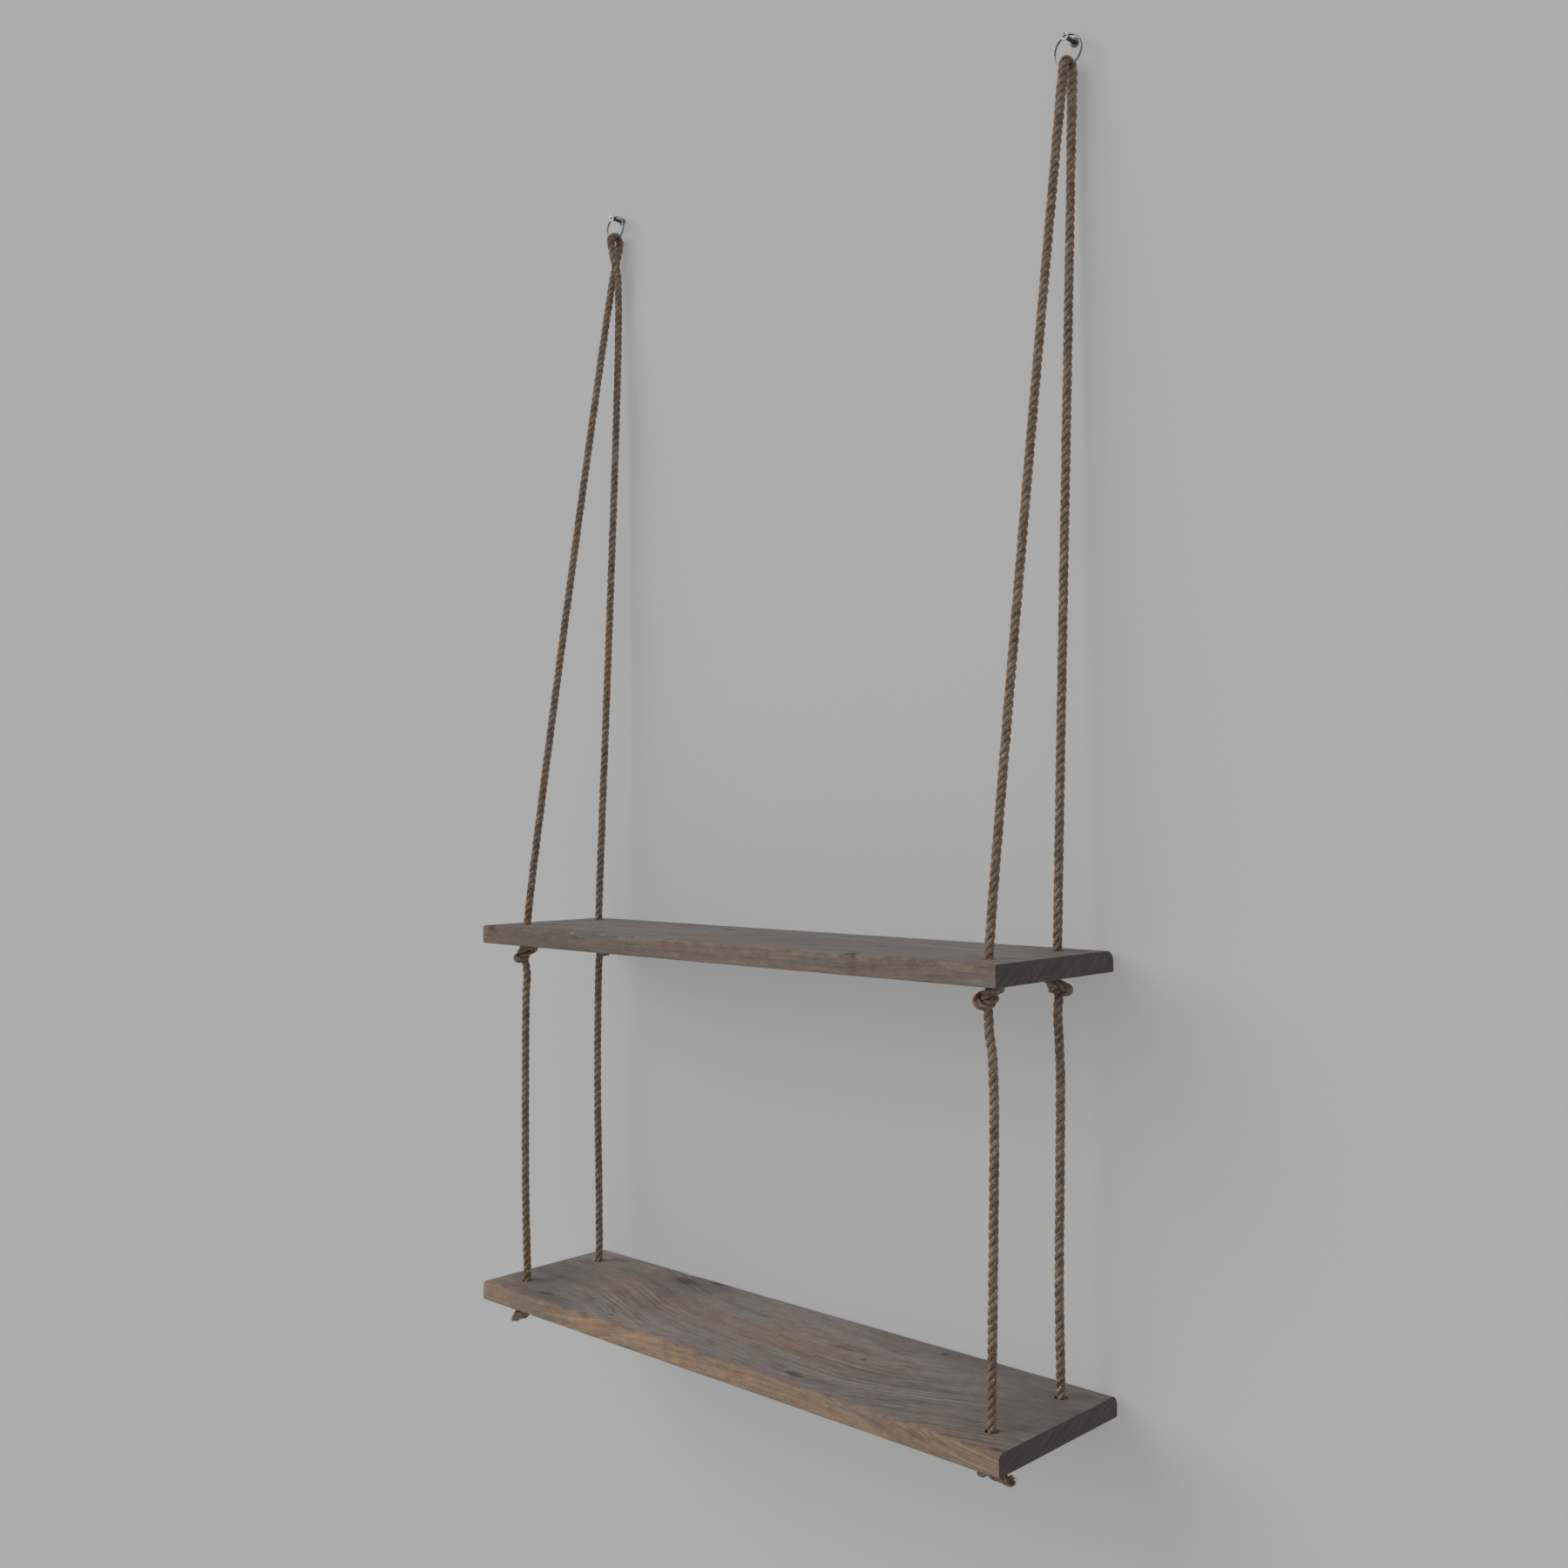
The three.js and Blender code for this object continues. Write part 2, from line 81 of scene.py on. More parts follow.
camera_data = bpy.data.cameras.new("photo_camera")
camera_data.sensor_fit = "HORIZONTAL"
camera_data.sensor_width = SENSOR_WIDTH
camera_data.lens = SENSOR_WIDTH * CAMERA_FOCAL_PIXELS / PHOTO_WIDTH
camera = bpy.data.objects.new("photo_camera", camera_data)
bpy.context.collection.objects.link(camera)
aim = Matrix.Rotation(CAMERA_AZIMUTH, 4, "Z")
aim @= Matrix.Rotation(math.pi / 2 + CAMERA_ELEVATION, 4, "X")
aim @= Matrix.Rotation(CAMERA_ROLL, 4, "Z")
camera.matrix_world = Matrix.Translation(CAMERA_PLACE) @ aim
bpy.context.scene.camera = camera


# Node materials
class Nodes:
    """A short way to write a material's node tree."""

    def __init__(self, name):
        self.material = bpy.data.materials.new(name)
        self.material.use_nodes = True
        self.tree = self.material.node_tree
        self.tree.nodes.clear()
        self.output = self.add("ShaderNodeOutputMaterial")
        self.shader = self.add("ShaderNodeBsdfPrincipled")
        self.put(self.output.inputs["Surface"], self.shader.outputs[0])

    def add(self, kind, *values, **settings):
        """A node of that kind, whose first inputs get the values."""
        node = self.tree.nodes.new(kind)
        for key, setting in settings.items():
            setattr(node, key, setting)
        for socket, value in zip(node.inputs, values):
            self.put(socket, value)
        return node

    def put(self, socket, value):
        if isinstance(value, bpy.types.NodeSocket):
            self.tree.links.new(value, socket)
        else:
            socket.default_value = value

    def math(self, operation, *values):
        return self.add("ShaderNodeMath", *values, operation=operation).outputs[0]

    def times(self, value, *others):
        for other in others:
            value = self.math("MULTIPLY", value, other)
        return value

    def plus(self, value, *others):
        for other in others:
            value = self.math("ADD", value, other)
        return value

    def minus(self, value, other):
        return self.math("SUBTRACT", value, other)

    def falling(self, squared, rate=1.0):
        """From 1 at no distance down to 0 far away, for a squared distance."""
        return self.math("EXPONENT", self.times(squared, -rate))

    def vector(self, operation, *values):
        node = self.add("ShaderNodeVectorMath", *values, operation=operation)
        return node.outputs["Value" if operation in ("LENGTH", "DOT_PRODUCT") else "Vector"]

    def place(self):
        return self.add("ShaderNodeTexCoord").outputs["Object"]

    def scaled(self, vector, scale):
        return self.vector("MULTIPLY", vector, scale)

    def split(self, vector):
        return self.add("ShaderNodeSeparateXYZ", vector).outputs

    def noise(self, vector, scale, detail=4, roughness=0.55, output="Fac"):
        """Noise of one scale, or of one scale along each axis."""
        if isinstance(scale, tuple):
            vector, scale = self.scaled(vector, scale), 1
        return self.add("ShaderNodeTexNoise", vector, 0, scale, detail, roughness).outputs[output]

    def spread(self, value, low, high, to_low=0.0, to_high=1.0, smooth=False):
        """The value's range from low to high spread over another range."""
        kind = "SMOOTHSTEP" if smooth else "LINEAR"
        values = (value, low, high, to_low, to_high)
        return self.add("ShaderNodeMapRange", *values, interpolation_type=kind).outputs["Result"]

    def mix(self, share, first, second):
        node = self.add("ShaderNodeMix", data_type="RGBA")
        for index, value in ((0, share), (6, first), (7, second)):
            self.put(node.inputs[index], value)
        return node.outputs[2]

    def stained(self, color, share, strength, stain):
        return self.mix(self.times(share, strength), color, srgb(*stain))

    def ramp(self, value, stops):
        """A colour ramp whose stops are a position and a colour as it looks on screen."""
        node = self.add("ShaderNodeValToRGB", value)
        elements = node.color_ramp.elements
        while len(elements) < len(stops):
            elements.new(0.5)
        for element, (position, color) in zip(elements, stops):
            element.position = position
            element.color = srgb(*color)
        return node.outputs[0]

    def bump(self, height, strength, distance):
        node = self.add("ShaderNodeBump")
        for key, value in (("Strength", strength), ("Distance", distance), ("Height", height)):
            self.put(node.inputs[key], value)
        self.put(self.shader.inputs["Normal"], node.outputs[0])

    def set(self, name, value):
        self.put(self.shader.inputs[name], value)

    def surface(self, color, roughness, specular=0.5):
        self.set("Base Color", color)
        self.set("Roughness", roughness)
        self.set("Specular IOR Level", specular)


YARNS = 17
YARN_SLANT = 0.48
YARN_WAVER = 11
STRAND_LOOK_RADIUS = 1.85 * MM


def rope_material():
    """Jute yarns: fine lines that run along the rope across each strand, with dry pale flecks."""
    n = Nodes("jute_rope")
    along, around, _ = n.split(n.add("ShaderNodeUVMap", uv_map="strand").outputs[0])
    place = n.place()
    turn = n.times(around, YARNS * math.tau)
    slide = n.times(along, YARNS * YARN_SLANT / STRAND_LOOK_RADIUS)
    waver = n.times(n.noise(place, 260, 2), YARN_WAVER)
    lines = n.spread(n.math("SINE", n.plus(turn, slide, waver)), -1, 1)
    streaks = n.noise(place, 900, 3, 0.7)
    blotches = n.noise(place, 85, 3, 0.6)
    flecks = n.noise(place, 420, 2, 0.6)
    tone = n.plus(n.times(lines, 0.16), n.times(streaks, 0.5), n.times(blotches, 0.46))
    color = n.ramp(tone, (
        (0.28, (52, 42, 35)),
        (0.47, (94, 78, 67)),
        (0.64, (128, 108, 93)),
        (0.84, (182, 158, 136)),
    ))
    color = n.stained(color, n.spread(flecks, 0.6, 0.7), 0.6, (204, 182, 157))
    # Painted shade, with some dirt, darkens the grooves between the strands
    facing = n.math("COSINE", n.times(around, math.tau))
    color = n.stained(color, n.spread(facing, -0.1, 0.75, 1, 0), 0.36, (46, 37, 32))
    n.surface(color, n.spread(streaks, 0.3, 0.7, 0.8, 0.97), 0.25)
    n.bump(n.plus(n.times(lines, 0.7), n.times(streaks, 0.6)), 0.7, 0.25 * MM)
    return n.material


def fibre_material():
    n = Nodes("loose_fibre")
    tone = n.noise(n.place(), 55, 2)
    color = n.ramp(tone, ((0.3, (116, 95, 78)), (0.7, (180, 156, 132))))
    n.surface(color, n.spread(tone, 0.2, 0.8, 0.75, 0.95), 0.3)
    return n.material


@dataclass
class Wood:
    """What differs from plank to plank, with places and reaches in metres on its top."""

    name: str
    top_z: float
    # From and to along the plank, and how far the ring lines shift forward between the two
    bends: tuple
    # Eyes: place, reach along and across, and how far the ring lines swerve round them
    knots: tuple
    # Place and reach of clearer ring lines, of wood that has stayed warm, and of darker patches, partly
    # painted shade toward the back right
    figures: tuple
    patches: tuple
    dark_and_shade: tuple
    ring: float
    slant: float
    front_warmth: float
    # Dark, middle and pale colour of greyed wood and of wood that has kept its colour
    greys: tuple
    browns: tuple


BLOB_THICKNESS = 0.05
EYE_THICKNESS = 0.03
FRONT_EDGE_Y = -0.18
RUBBED_WIDTH = 4.5 * MM
WOOD_TONES = (0.36, 0.5, 0.64)


def blobs(n, local, spots):
    """Soft-edged ovals round the given places, as one share."""
    whole = None
    for x, y, reach_x, reach_y in spots:
        near = n.vector("SUBTRACT", local, (x, y, 0))
        near = n.scaled(near, (1 / reach_x, 1 / reach_y, 1 / BLOB_THICKNESS))
        share = n.falling(n.vector("DOT_PRODUCT", near, near))
        whole = share if whole is None else n.plus(whole, share)
    return n.math("MINIMUM", whole, 1)


def wood_material(wood):
    """Weathered softwood: ring lines that bend along the plank, warm patches, darker patches and dark end
    grain, both partly painted shade.
    """
    n = Nodes(wood.name)
    local = n.vector("SUBTRACT", n.place(), (0, 0, wood.top_z))
    x, y, z = n.split(local)
    slow = n.noise(local, (4, 11, 11), 2, 0.45)
    fine = n.noise(local, (15, 70, 70), 3, 0.5)
    field = n.minus(y, n.times(z, wood.slant))
    for start, end, shift in wood.bends:
        field = n.plus(field, n.spread(x, start, end, 0, shift, smooth=True))
    field = n.plus(field, n.times(n.minus(slow, 0.5), 0.026), n.times(n.minus(fine, 0.5), 0.0024))
    eyes = None
    for eye_x, eye_y, reach_x, reach_y, lift in wood.knots:
        near = n.vector("SUBTRACT", local, (eye_x, eye_y, 0))
        near = n.scaled(near, (1 / reach_x, 1 / reach_y, 1 / EYE_THICKNESS))
        uneven = n.scaled(n.noise(local, (90, 160, 160), 2, 0.5, "Color"), (0.9, 0.9, 0))
        near = n.vector("SUBTRACT", n.vector("ADD", near, uneven), (0.45, 0.45, 0))
        distance = n.vector("LENGTH", near)
        field = n.plus(field, n.times(n.falling(n.math("POWER", distance, 2), 0.4), lift))
        eye = n.spread(distance, 0.2, 0.62, 1, 0, smooth=True)
        eyes = eye if eyes is None else n.math("MAXIMUM", eyes, eye)
    # All streaks run along the bent ring lines
    grain = n.add("ShaderNodeCombineXYZ", x, field, z).outputs[0]
    bands = n.noise(grain, (3, 55, 30), 2, 0.5)
    streaks = n.noise(grain, (7, 330, 120), 4, 0.6)
    fibre = n.noise(grain, (36, 1500, 700), 2, 0.6)
    grime = n.noise(grain, (16, 60, 60), 5, 0.68)
    checks = n.noise(grain, (5, 210, 80), 3, 0.55)
    spacing = n.noise(grain, (1.2, 45, 16), 2, 0.5)
    patches = n.noise(local, (7, 20, 20), 3, 0.5)
    mottle = n.noise(local, (70, 150, 150), 5, 0.72)
    specks = n.noise(local, (420, 800, 800), 2, 0.6)
    rings = n.math("FRACT", n.plus(n.math("DIVIDE", field, wood.ring), n.times(spacing, 4)))
    late = n.times(n.math("POWER", rings, 3.2), n.spread(rings, 1, 0.9, 0, 1))
    shown = n.plus(n.spread(bands, 0.38, 0.66, 0.02, 0.26), blobs(n, local, wood.figures))
    line = n.times(late, n.math("MINIMUM", shown, 1), n.spread(streaks, 0.32, 0.56, 0.35, 1))
    # Short drying cracks follow the grain
    crack = n.spread(n.math("ABSOLUTE", n.minus(checks, 0.5)), 0, 0.018, 1, 0)
    crack = n.times(crack, n.spread(grime, 0.5, 0.64))

    tone = n.plus(n.times(bands, 0.28), n.times(streaks, 0.34), n.times(mottle, 0.38))
    grey = n.ramp(tone, tuple(zip(WOOD_TONES, wood.greys)))
    warm = n.ramp(tone, tuple(zip(WOOD_TONES, wood.browns)))
    # The front edge and some patches of the top have stayed warmer
    front = n.spread(y, FRONT_EDGE_Y + 10 * MM, FRONT_EDGE_Y + 1 * MM, 0, wood.front_warmth, smooth=True)
    front = n.times(front, n.spread(patches, 0.34, 0.56, 0.45, 1))
    kept = n.times(blobs(n, local, wood.patches), n.spread(patches, 0.3, 0.6, 0.2, 0.75))
    color = n.mix(n.math("MAXIMUM", front, kept), grey, warm)
    # The front top arris is rubbed down to fresher wood here and there
    arris = n.vector("SUBTRACT", local, (0, FRONT_EDGE_Y, 0))
    arris = n.scaled(arris, (0, 1 / RUBBED_WIDTH, 1 / RUBBED_WIDTH))
    rubbed = n.times(n.falling(n.vector("DOT_PRODUCT", arris, arris)), n.spread(mottle, 0.48, 0.62))
    for share, strength, stain in (
        # Darker patches: partly painted shade toward the back right of the top
        (blobs(n, local, wood.dark_and_shade), 0.5, (72, 64, 61)),
        (n.spread(grime, 0.5, 0.7), 0.42, (80, 71, 66)),
        (line, 0.92, (52, 45, 42)),
        (n.spread(fibre, 0.56, 0.74), 0.34, (72, 63, 58)),
        (n.spread(specks, 0.6, 0.72), 0.45, (58, 50, 47)),
        (crack, 0.7, (48, 41, 38)),
        (eyes, 0.7, (56, 48, 45)),
        (rubbed, 0.55, (138, 113, 90)),
    ):
        color = n.stained(color, share, strength, stain)
    # End grain is much darker, partly its own colour and partly painted shade, with the rings slanting
    # across it
    facing = n.split(n.add("ShaderNodeNewGeometry").outputs["True Normal"])[0]
    end = n.spread(n.math("ABSOLUTE", facing), 0.55, 0.85)
    pores = n.noise(local, (300, 520, 900), 3, 0.65)
    end_bands = n.noise(grain, (3, 160, 60), 3, 0.6)
    end_tone = n.plus(n.times(late, 0.08), n.times(pores, 0.5), n.times(end_bands, 0.45))
    end_grain_and_shade = n.ramp(end_tone, ((0.36, (82, 74, 73)), (0.62, (46, 41, 44))))
    n.surface(n.mix(end, color, end_grain_and_shade), n.spread(streaks, 0.3, 0.7, 0.74, 0.92), 0.28)
    raised = n.plus(n.times(streaks, 0.8), n.times(fibre, 0.4), n.times(mottle, 0.5))
    sunk = n.plus(n.times(line, 0.7), n.times(n.plus(crack, eyes), 0.8))
    n.bump(n.minus(raised, sunk), 0.6, 0.5 * MM)
    return n.material


def metal_material(name, color, darker, roughness, painted_shade_from=None):
    """Metal with clouds of a darker tone, and painted shade on what lies nearer the wall than a given
    distance.
    """
    n = Nodes(name)
    place = n.place()
    cloud = n.noise(place, 700, 4, 0.6)
    tone = n.mix(n.spread(cloud, 0.35, 0.7), srgb(*color), srgb(*darker))
    if painted_shade_from is not None:
        # What lies nearer the wall than that distance, the screw's shank, gets painted shade
        shank_shade = n.spread(n.split(place)[1], painted_shade_from, painted_shade_from + 1.5 * MM)
        tone = n.mix(shank_shade, tone, srgb(70, 68, 66))
    n.surface(tone, n.spread(cloud, 0.3, 0.7, roughness, roughness + 0.16))
    n.set("Metallic", 1)
    n.bump(n.noise(place, 4000, 2), 0.12, 0.02 * MM)
    return n.material


def plastic_material():
    n = Nodes("plug_plastic")
    place = n.place()
    cloud = n.noise(place, 500, 4)
    n.surface(n.mix(cloud, srgb(62, 62, 64), srgb(88, 88, 90)), n.spread(cloud, 0.3, 0.7, 0.5, 0.7))
    n.bump(n.noise(place, 3000, 2), 0.2, 0.03 * MM)
    return n.material


ROPE = rope_material()
FIBRE = fibre_material()
# The screw's shank behind the head gets painted shade
ZINC = metal_material("bright_zinc", (158, 160, 164), (130, 132, 137), 0.56, painted_shade_from=-16.8 * MM)
STEEL = metal_material("spring_steel", (132, 132, 134), (84, 84, 86), 0.18)
PLASTIC = plastic_material()


# Meshes
def new_object(name, vertices, faces, material, smooth=True):
    mesh = bpy.data.meshes.new(name)
    mesh.from_pydata([tuple(v) for v in vertices], [], faces)
    mesh.materials.append(material)
    mesh.polygons.foreach_set("use_smooth", [smooth] * len(mesh.polygons))
    mesh.update()
    piece = bpy.data.objects.new(name, mesh)
    bpy.context.collection.objects.link(piece)
    return piece


def smooth_through(points, per_span=10):
    """Centripetal Catmull-Rom curve through the points, as a polyline."""
    points = [np.array(p, float) for p in points]
    ends = [2 * points[0] - points[1]] + points + [2 * points[-1] - points[-2]]
    out = []
    for i in range(1, len(ends) - 2):
        p0, p1, p2, p3 = ends[i - 1:i + 3]
        d0, d1, d2 = (max(np.linalg.norm(b - a), 1e-9) ** 0.5 for a, b in ((p0, p1), (p1, p2), (p2, p3)))
        m1 = ((p1 - p0) / d0 - (p2 - p0) / (d0 + d1) + (p2 - p1) / d1) * d1
        m2 = ((p2 - p1) / d1 - (p3 - p1) / (d1 + d2) + (p3 - p2) / d2) * d1
        for t in np.arange(per_span) / per_span:
            out.append(
                (2 * t ** 3 - 3 * t ** 2 + 1) * p1 + (t ** 3 - 2 * t ** 2 + t) * m1
                + (3 * t ** 2 - 2 * t ** 3) * p2 + (t ** 3 - t ** 2) * m2
            )
    out.append(points[-1])
    return np.array(out)


def arc_lengths(points):
    steps = np.linalg.norm(np.diff(points, axis=0), axis=1)
    return np.concatenate([[0], np.cumsum(steps)])


def evenly(points, count):
    """The polyline again, in that many stretches of one length."""
    lengths = arc_lengths(points)
    along = np.linspace(0, lengths[-1], count + 1)
    return np.stack([np.interp(along, lengths, points[:, axis]) for axis in range(3)], axis=1)


def unit(vectors):
    return vectors / np.maximum(np.linalg.norm(vectors, axis=-1, keepdims=True), 1e-12)


def circle(sides):
    """The cosine and sine of that many even steps round a circle."""
    angles = [math.tau * k / sides for k in range(sides)]
    return [(math.cos(angle), math.sin(angle)) for angle in angles]


def ring_faces(first, rings, sides):
    """Quads between rings of vertices that follow each other."""
    faces = []
    for start in range(first, first + (rings - 1) * sides, sides):
        for k in range(sides):
            a, b = start + k, start + (k + 1) % sides
            faces.append((a, b, b + sides, a + sides))
    return faces


def tube_faces(first, rings, sides):
    """The quads of such rings and the two end faces."""
    last = first + (rings - 1) * sides
    ends = [tuple(first + k for k in reversed(range(sides))), tuple(last + k for k in range(sides))]
    return ring_faces(first, rings, sides) + ends


ROPE_RADIUS = 4.5 * MM
STRANDS = 3
STRAND_SHARE = 0.52
STRAND_OFFSET_SHARE = 0.46
LAY_LENGTH = 24 * MM
ROPE_STEP = 1.6 * MM
STRAND_SIDES = 10
# The rope has opened up a little where it comes down from the ring
LOOSE_SIZE = 1.20
TIGHT_LENGTH = 16 * MM
FRAY_LENGTH = 5 * MM
FRAY_SPREAD = 0.25


class Rope:
    """A three-strand rope along a route: its places, frames and strand angle at each step."""

    def __init__(self, points, loose_length):
        count = max(int(round(arc_lengths(points)[-1] / ROPE_STEP)), 2)
        self.points = evenly(points, count)
        self.along = arc_lengths(self.points)
        self.length = self.along[-1]
        self.tangents = unit(np.gradient(self.points, axis=0))
        self.normals = self._untwisted()
        self.sides = np.cross(self.tangents, self.normals)
        self.angle = math.tau * self.along / LAY_LENGTH
        # Thicker below the ring, but not where it bears on the wire
        from_ring = abs(self.along - self.along[np.argmax(self.points[:, 2])])
        loose = np.clip(from_ring / TIGHT_LENGTH, 0.3, 1) * np.clip(1 - from_ring / loose_length, 0, 1)
        self.size = 1 + (LOOSE_SIZE - 1) * loose
        # The strands part at the cut ends
        from_end = np.minimum(self.along, self.length - self.along)
        self.spread = 1 + FRAY_SPREAD * np.clip(1 - from_end / FRAY_LENGTH, 0, 1) ** 1.5

    def _untwisted(self):
        start = np.array([1.0, 0.0, 0.0])
        if abs(self.tangents[0] @ start) > 0.8:
            start = np.array([0.0, 1.0, 0.0])
        normals = []
        for tangent in self.tangents:
            start = unit(start - tangent * (start @ tangent))
            normals.append(start)
        return np.array(normals)

    def nearest(self, point):
        return self.along[np.argmin(np.linalg.norm(self.points - np.array(point), axis=1))]


def radial(rope, steps, angles):
    """Directions out of the rope at the given steps and angles."""
    return np.cos(angles)[:, None] * rope.normals[steps] + np.sin(angles)[:, None] * rope.sides[steps]


def laid_rope(name, rope, start, end, scale):
    """The rope's three strands from start to end along it, as one mesh with strand coordinates."""
    kept = np.nonzero((rope.along >= start - 1e-6) & (rope.along <= end + 1e-6))[0]
    # Both ends of a strand are rounded off
    rounded = np.ones(len(kept))
    rounded[[0, 1, -2, -1]] = 0.05, 0.72, 0.72, 0.05
    vertices, faces, coordinates = [], [], []
    for strand in range(STRANDS):
        turn = rope.angle + strand * math.tau / STRANDS
        outward = radial(rope, slice(None), turn)
        offsets = ROPE_RADIUS * STRAND_OFFSET_SHARE * rope.size * rope.spread * scale
        centres = rope.points + outward * offsets[:, None]
        tangents = unit(np.gradient(centres, axis=0))
        first = unit(outward - tangents * np.sum(outward * tangents, axis=1)[:, None])
        second = np.cross(tangents, first)
        uneven = 1 + 0.04 * np.sin(rope.along / (9.3 * MM) + strand * 1.7)
        uneven += 0.04 * np.sin(rope.along / (3.7 * MM) + strand * 2.9)
        radii = ROPE_RADIUS * STRAND_SHARE * rope.size * scale * uneven
        faces += tube_faces(len(vertices), len(kept), STRAND_SIDES)
        for share, i in zip(rounded, kept):
            for cos, sin in circle(STRAND_SIDES):
                offset = first[i] * cos + second[i] * sin
                vertices.append(centres[i] + offset * radii[i] * share)
        along = rope.along[kept]
        for low, high in zip(along, along[1:]):
            for k in range(STRAND_SIDES):
                v0, v1 = k / STRAND_SIDES, (k + 1) / STRAND_SIDES
                coordinates += [(low, v0), (low, v1), (high, v1), (high, v0)]
        coordinates += [(along[0], 0.0)] * STRAND_SIDES + [(along[-1], 0.0)] * STRAND_SIDES
    piece = new_object(name, vertices, faces, ROPE)
    layer = piece.data.uv_layers.new(name="strand")
    layer.data.foreach_set("uv", np.array(coordinates, float).ravel())
    return piece


FIBRE_SIDES = 3
FIBRE_RINGS = 4


def fibres(name, bases, directions, bends, lengths, thickness, body):
    """Thin tapering hairs, each a closed three-sided tube."""
    vertices, faces = [], []
    for base, direction, bend, length in zip(bases, directions, bends, lengths):
        helper = unit(np.cross(direction, bend + 1e-6))
        other = np.cross(direction, helper)
        faces += tube_faces(len(vertices), FIBRE_RINGS, FIBRE_SIDES)
        for ring in range(FIBRE_RINGS):
            share = ring / (FIBRE_RINGS - 1)
            centre = base + direction * length * share + bend * length * share * share
            radius = thickness * (1 - 0.75 * share) / 2
            for cos, sin in circle(FIBRE_SIDES):
                vertices.append(centre + (helper * cos + other * sin) * radius)
    hairs = new_object(name, vertices, faces, FIBRE)
    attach(hairs, body)


FIBRES_PER_METRE = 700
FIBRE_THICKNESS = 0.13 * MM
FIBRE_ROOT_SHARE = 0.86


def fuzz(name, rope, start, end, body):
    """Stray fibres that stand out of a stretch of rope."""
    count = max(int((end - start) * FIBRES_PER_METRE), 3)
    spots = rng.uniform(start, end, count)
    index = np.searchsorted(rope.along, spots).clip(0, len(rope.along) - 1)
    outward = radial(rope, index, rng.uniform(0, math.tau, count))
    roots = ROPE_RADIUS * FIBRE_ROOT_SHARE * rope.size[index]
    bases = rope.points[index] + outward * roots[:, None]
    lean = rng.uniform(-1.0, 1.0, count)[:, None]
    swirl = np.cross(rope.tangents[index], outward) * rng.uniform(-0.7, 0.7, count)[:, None]
    lift = rng.uniform(0.25, 0.9, count)[:, None]
    directions = unit(outward * lift + rope.tangents[index] * lean + swirl)
    bends = rng.normal(0, 0.28, (count, 3))
    lengths = np.clip(rng.lognormal(math.log(2.3), 0.55, count), 1.0, 10.0) * MM
    fibres(name, bases, directions, bends, lengths, FIBRE_THICKNESS, body)


# Rope routes, which repeat the routes of the rope solids
(_, _, UPPER_UNDERSIDE), (_, _, UPPER_TOP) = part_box("upper_board")
(_, _, LOWER_UNDERSIDE), (_, _, LOWER_TOP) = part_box("lower_board")
HOLE_X, FRONT_HOLE_Y, UPPER_PIVOT = middle("rope_bend_front_right")
REAR_HOLE_Y = middle("rope_bend_rear_right")[1]
RING_Y = middle("split_ring_right")[1]
BEND_RADIUS = 7 * MM
BEND_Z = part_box("bridle_rope_right")[1][2] - ROPE_RADIUS - BEND_RADIUS
CROSSING_DROP = 45 * MM
CROSSING_OFFSET = 5 * MM
CROSSING_STEPS = 3
KNOT_TURN = 7.5 * MM
KNOT_ROPE_RADIUS = 3.5 * MM
SEAT_GAP = 0.3 * MM

LOOSE_KNOT = (
    (0, 0, 0), (-0.15, -0.05, -0.55), (-0.45, -0.05, -1.15), (-0.65, 0, -1.75),
    (-0.7, 0.3, -2.35), (-0.35, 0.85, -2.75), (0.4, 1.2, -2.65), (1.25, 0.85, -2.35),
    (1.7, -0.05, -2.05), (1.3, -0.95, -1.8), (0.35, -1.35, -1.6), (-0.65, -1.25, -1.4),
    (-1.45, -0.6, -1.2), (-1.5, 0.4, -1), (-0.8, 1.1, -0.75), (0.1, 1.25, -0.55),
    (0.75, 0.9, -0.65), (0.9, 0.3, -1.1), (0.7, -0.1, -1.75), (0.55, -0.2, -2.4),
    (0.3, -0.15, -3.05), (0.05, -0.05, -3.55), (0, 0, -4),
)
UPPER_TURNS = {"front_left": 210, "front_right": 232, "rear_left": 330, "rear_right": 60}
LOWER_TURNS = {"front_left": 195, "front_right": 110, "rear_left": 100, "rear_right": 120}
TAILS = {
    "front_left": ((-0.3, -0.1, -2.45), (-1.15, -0.45, -2.55), (-1.85, -0.75, -2.95), (-1.95, -0.8, -3.6)),
    "front_right": ((0.1, 0.3, -2.3), (1, 0.3, -2.3), (2, 0, -2.2), (3.1, -0.4, -2)),
    "rear_left": ((0.1, -0.1, -2.65), (0.45, -0.8, -2.9), (0.8, -1.5, -3.2), (1, -1.9, -3.7)),
    "rear_right": ((-0.1, 0.1, -2.4), (-0.8, 0.5, -2.5), (-1.6, 0.95, -2.6), (-2.4, 1.35, -2.5)),
}
# Slight bows of the runs between the planks: height share from the top, then right and back
BOWS = {
    "front_left": ((0.06, -2.2, 0.6), (0.33, -3.6, 0.4), (0.72, -2.4, -0.5)),
    "front_right": ((0.08, 3.4, -0.3), (0.22, 4.4, 0.4), (0.5, 3, 0.5), (0.78, 1.2, 0.3)),
    "rear_left": ((0.08, -1.6, 0.5), (0.4, -1.8, -0.6), (0.75, -0.9, 0.3)),
    "rear_right": ((0.14, 1.6, 0.6), (0.4, 0.9, 0.2), (0.72, -0.6, -0.4)),
}
# How far down from the ring the rope is looser
LOOSE_LENGTH = {"left": 62 * MM, "right": 110 * MM}


KNOT_STATIONS = 56
TIGHTEN_ROUNDS = 130
PRESS_PASSES = 6
PRESS_SHARE = 0.8
NEIGHBOUR_REACH = 1.7
HOLE_REACH = 0.55
TAIL_START = -2.1
EXIT_START = -3.3


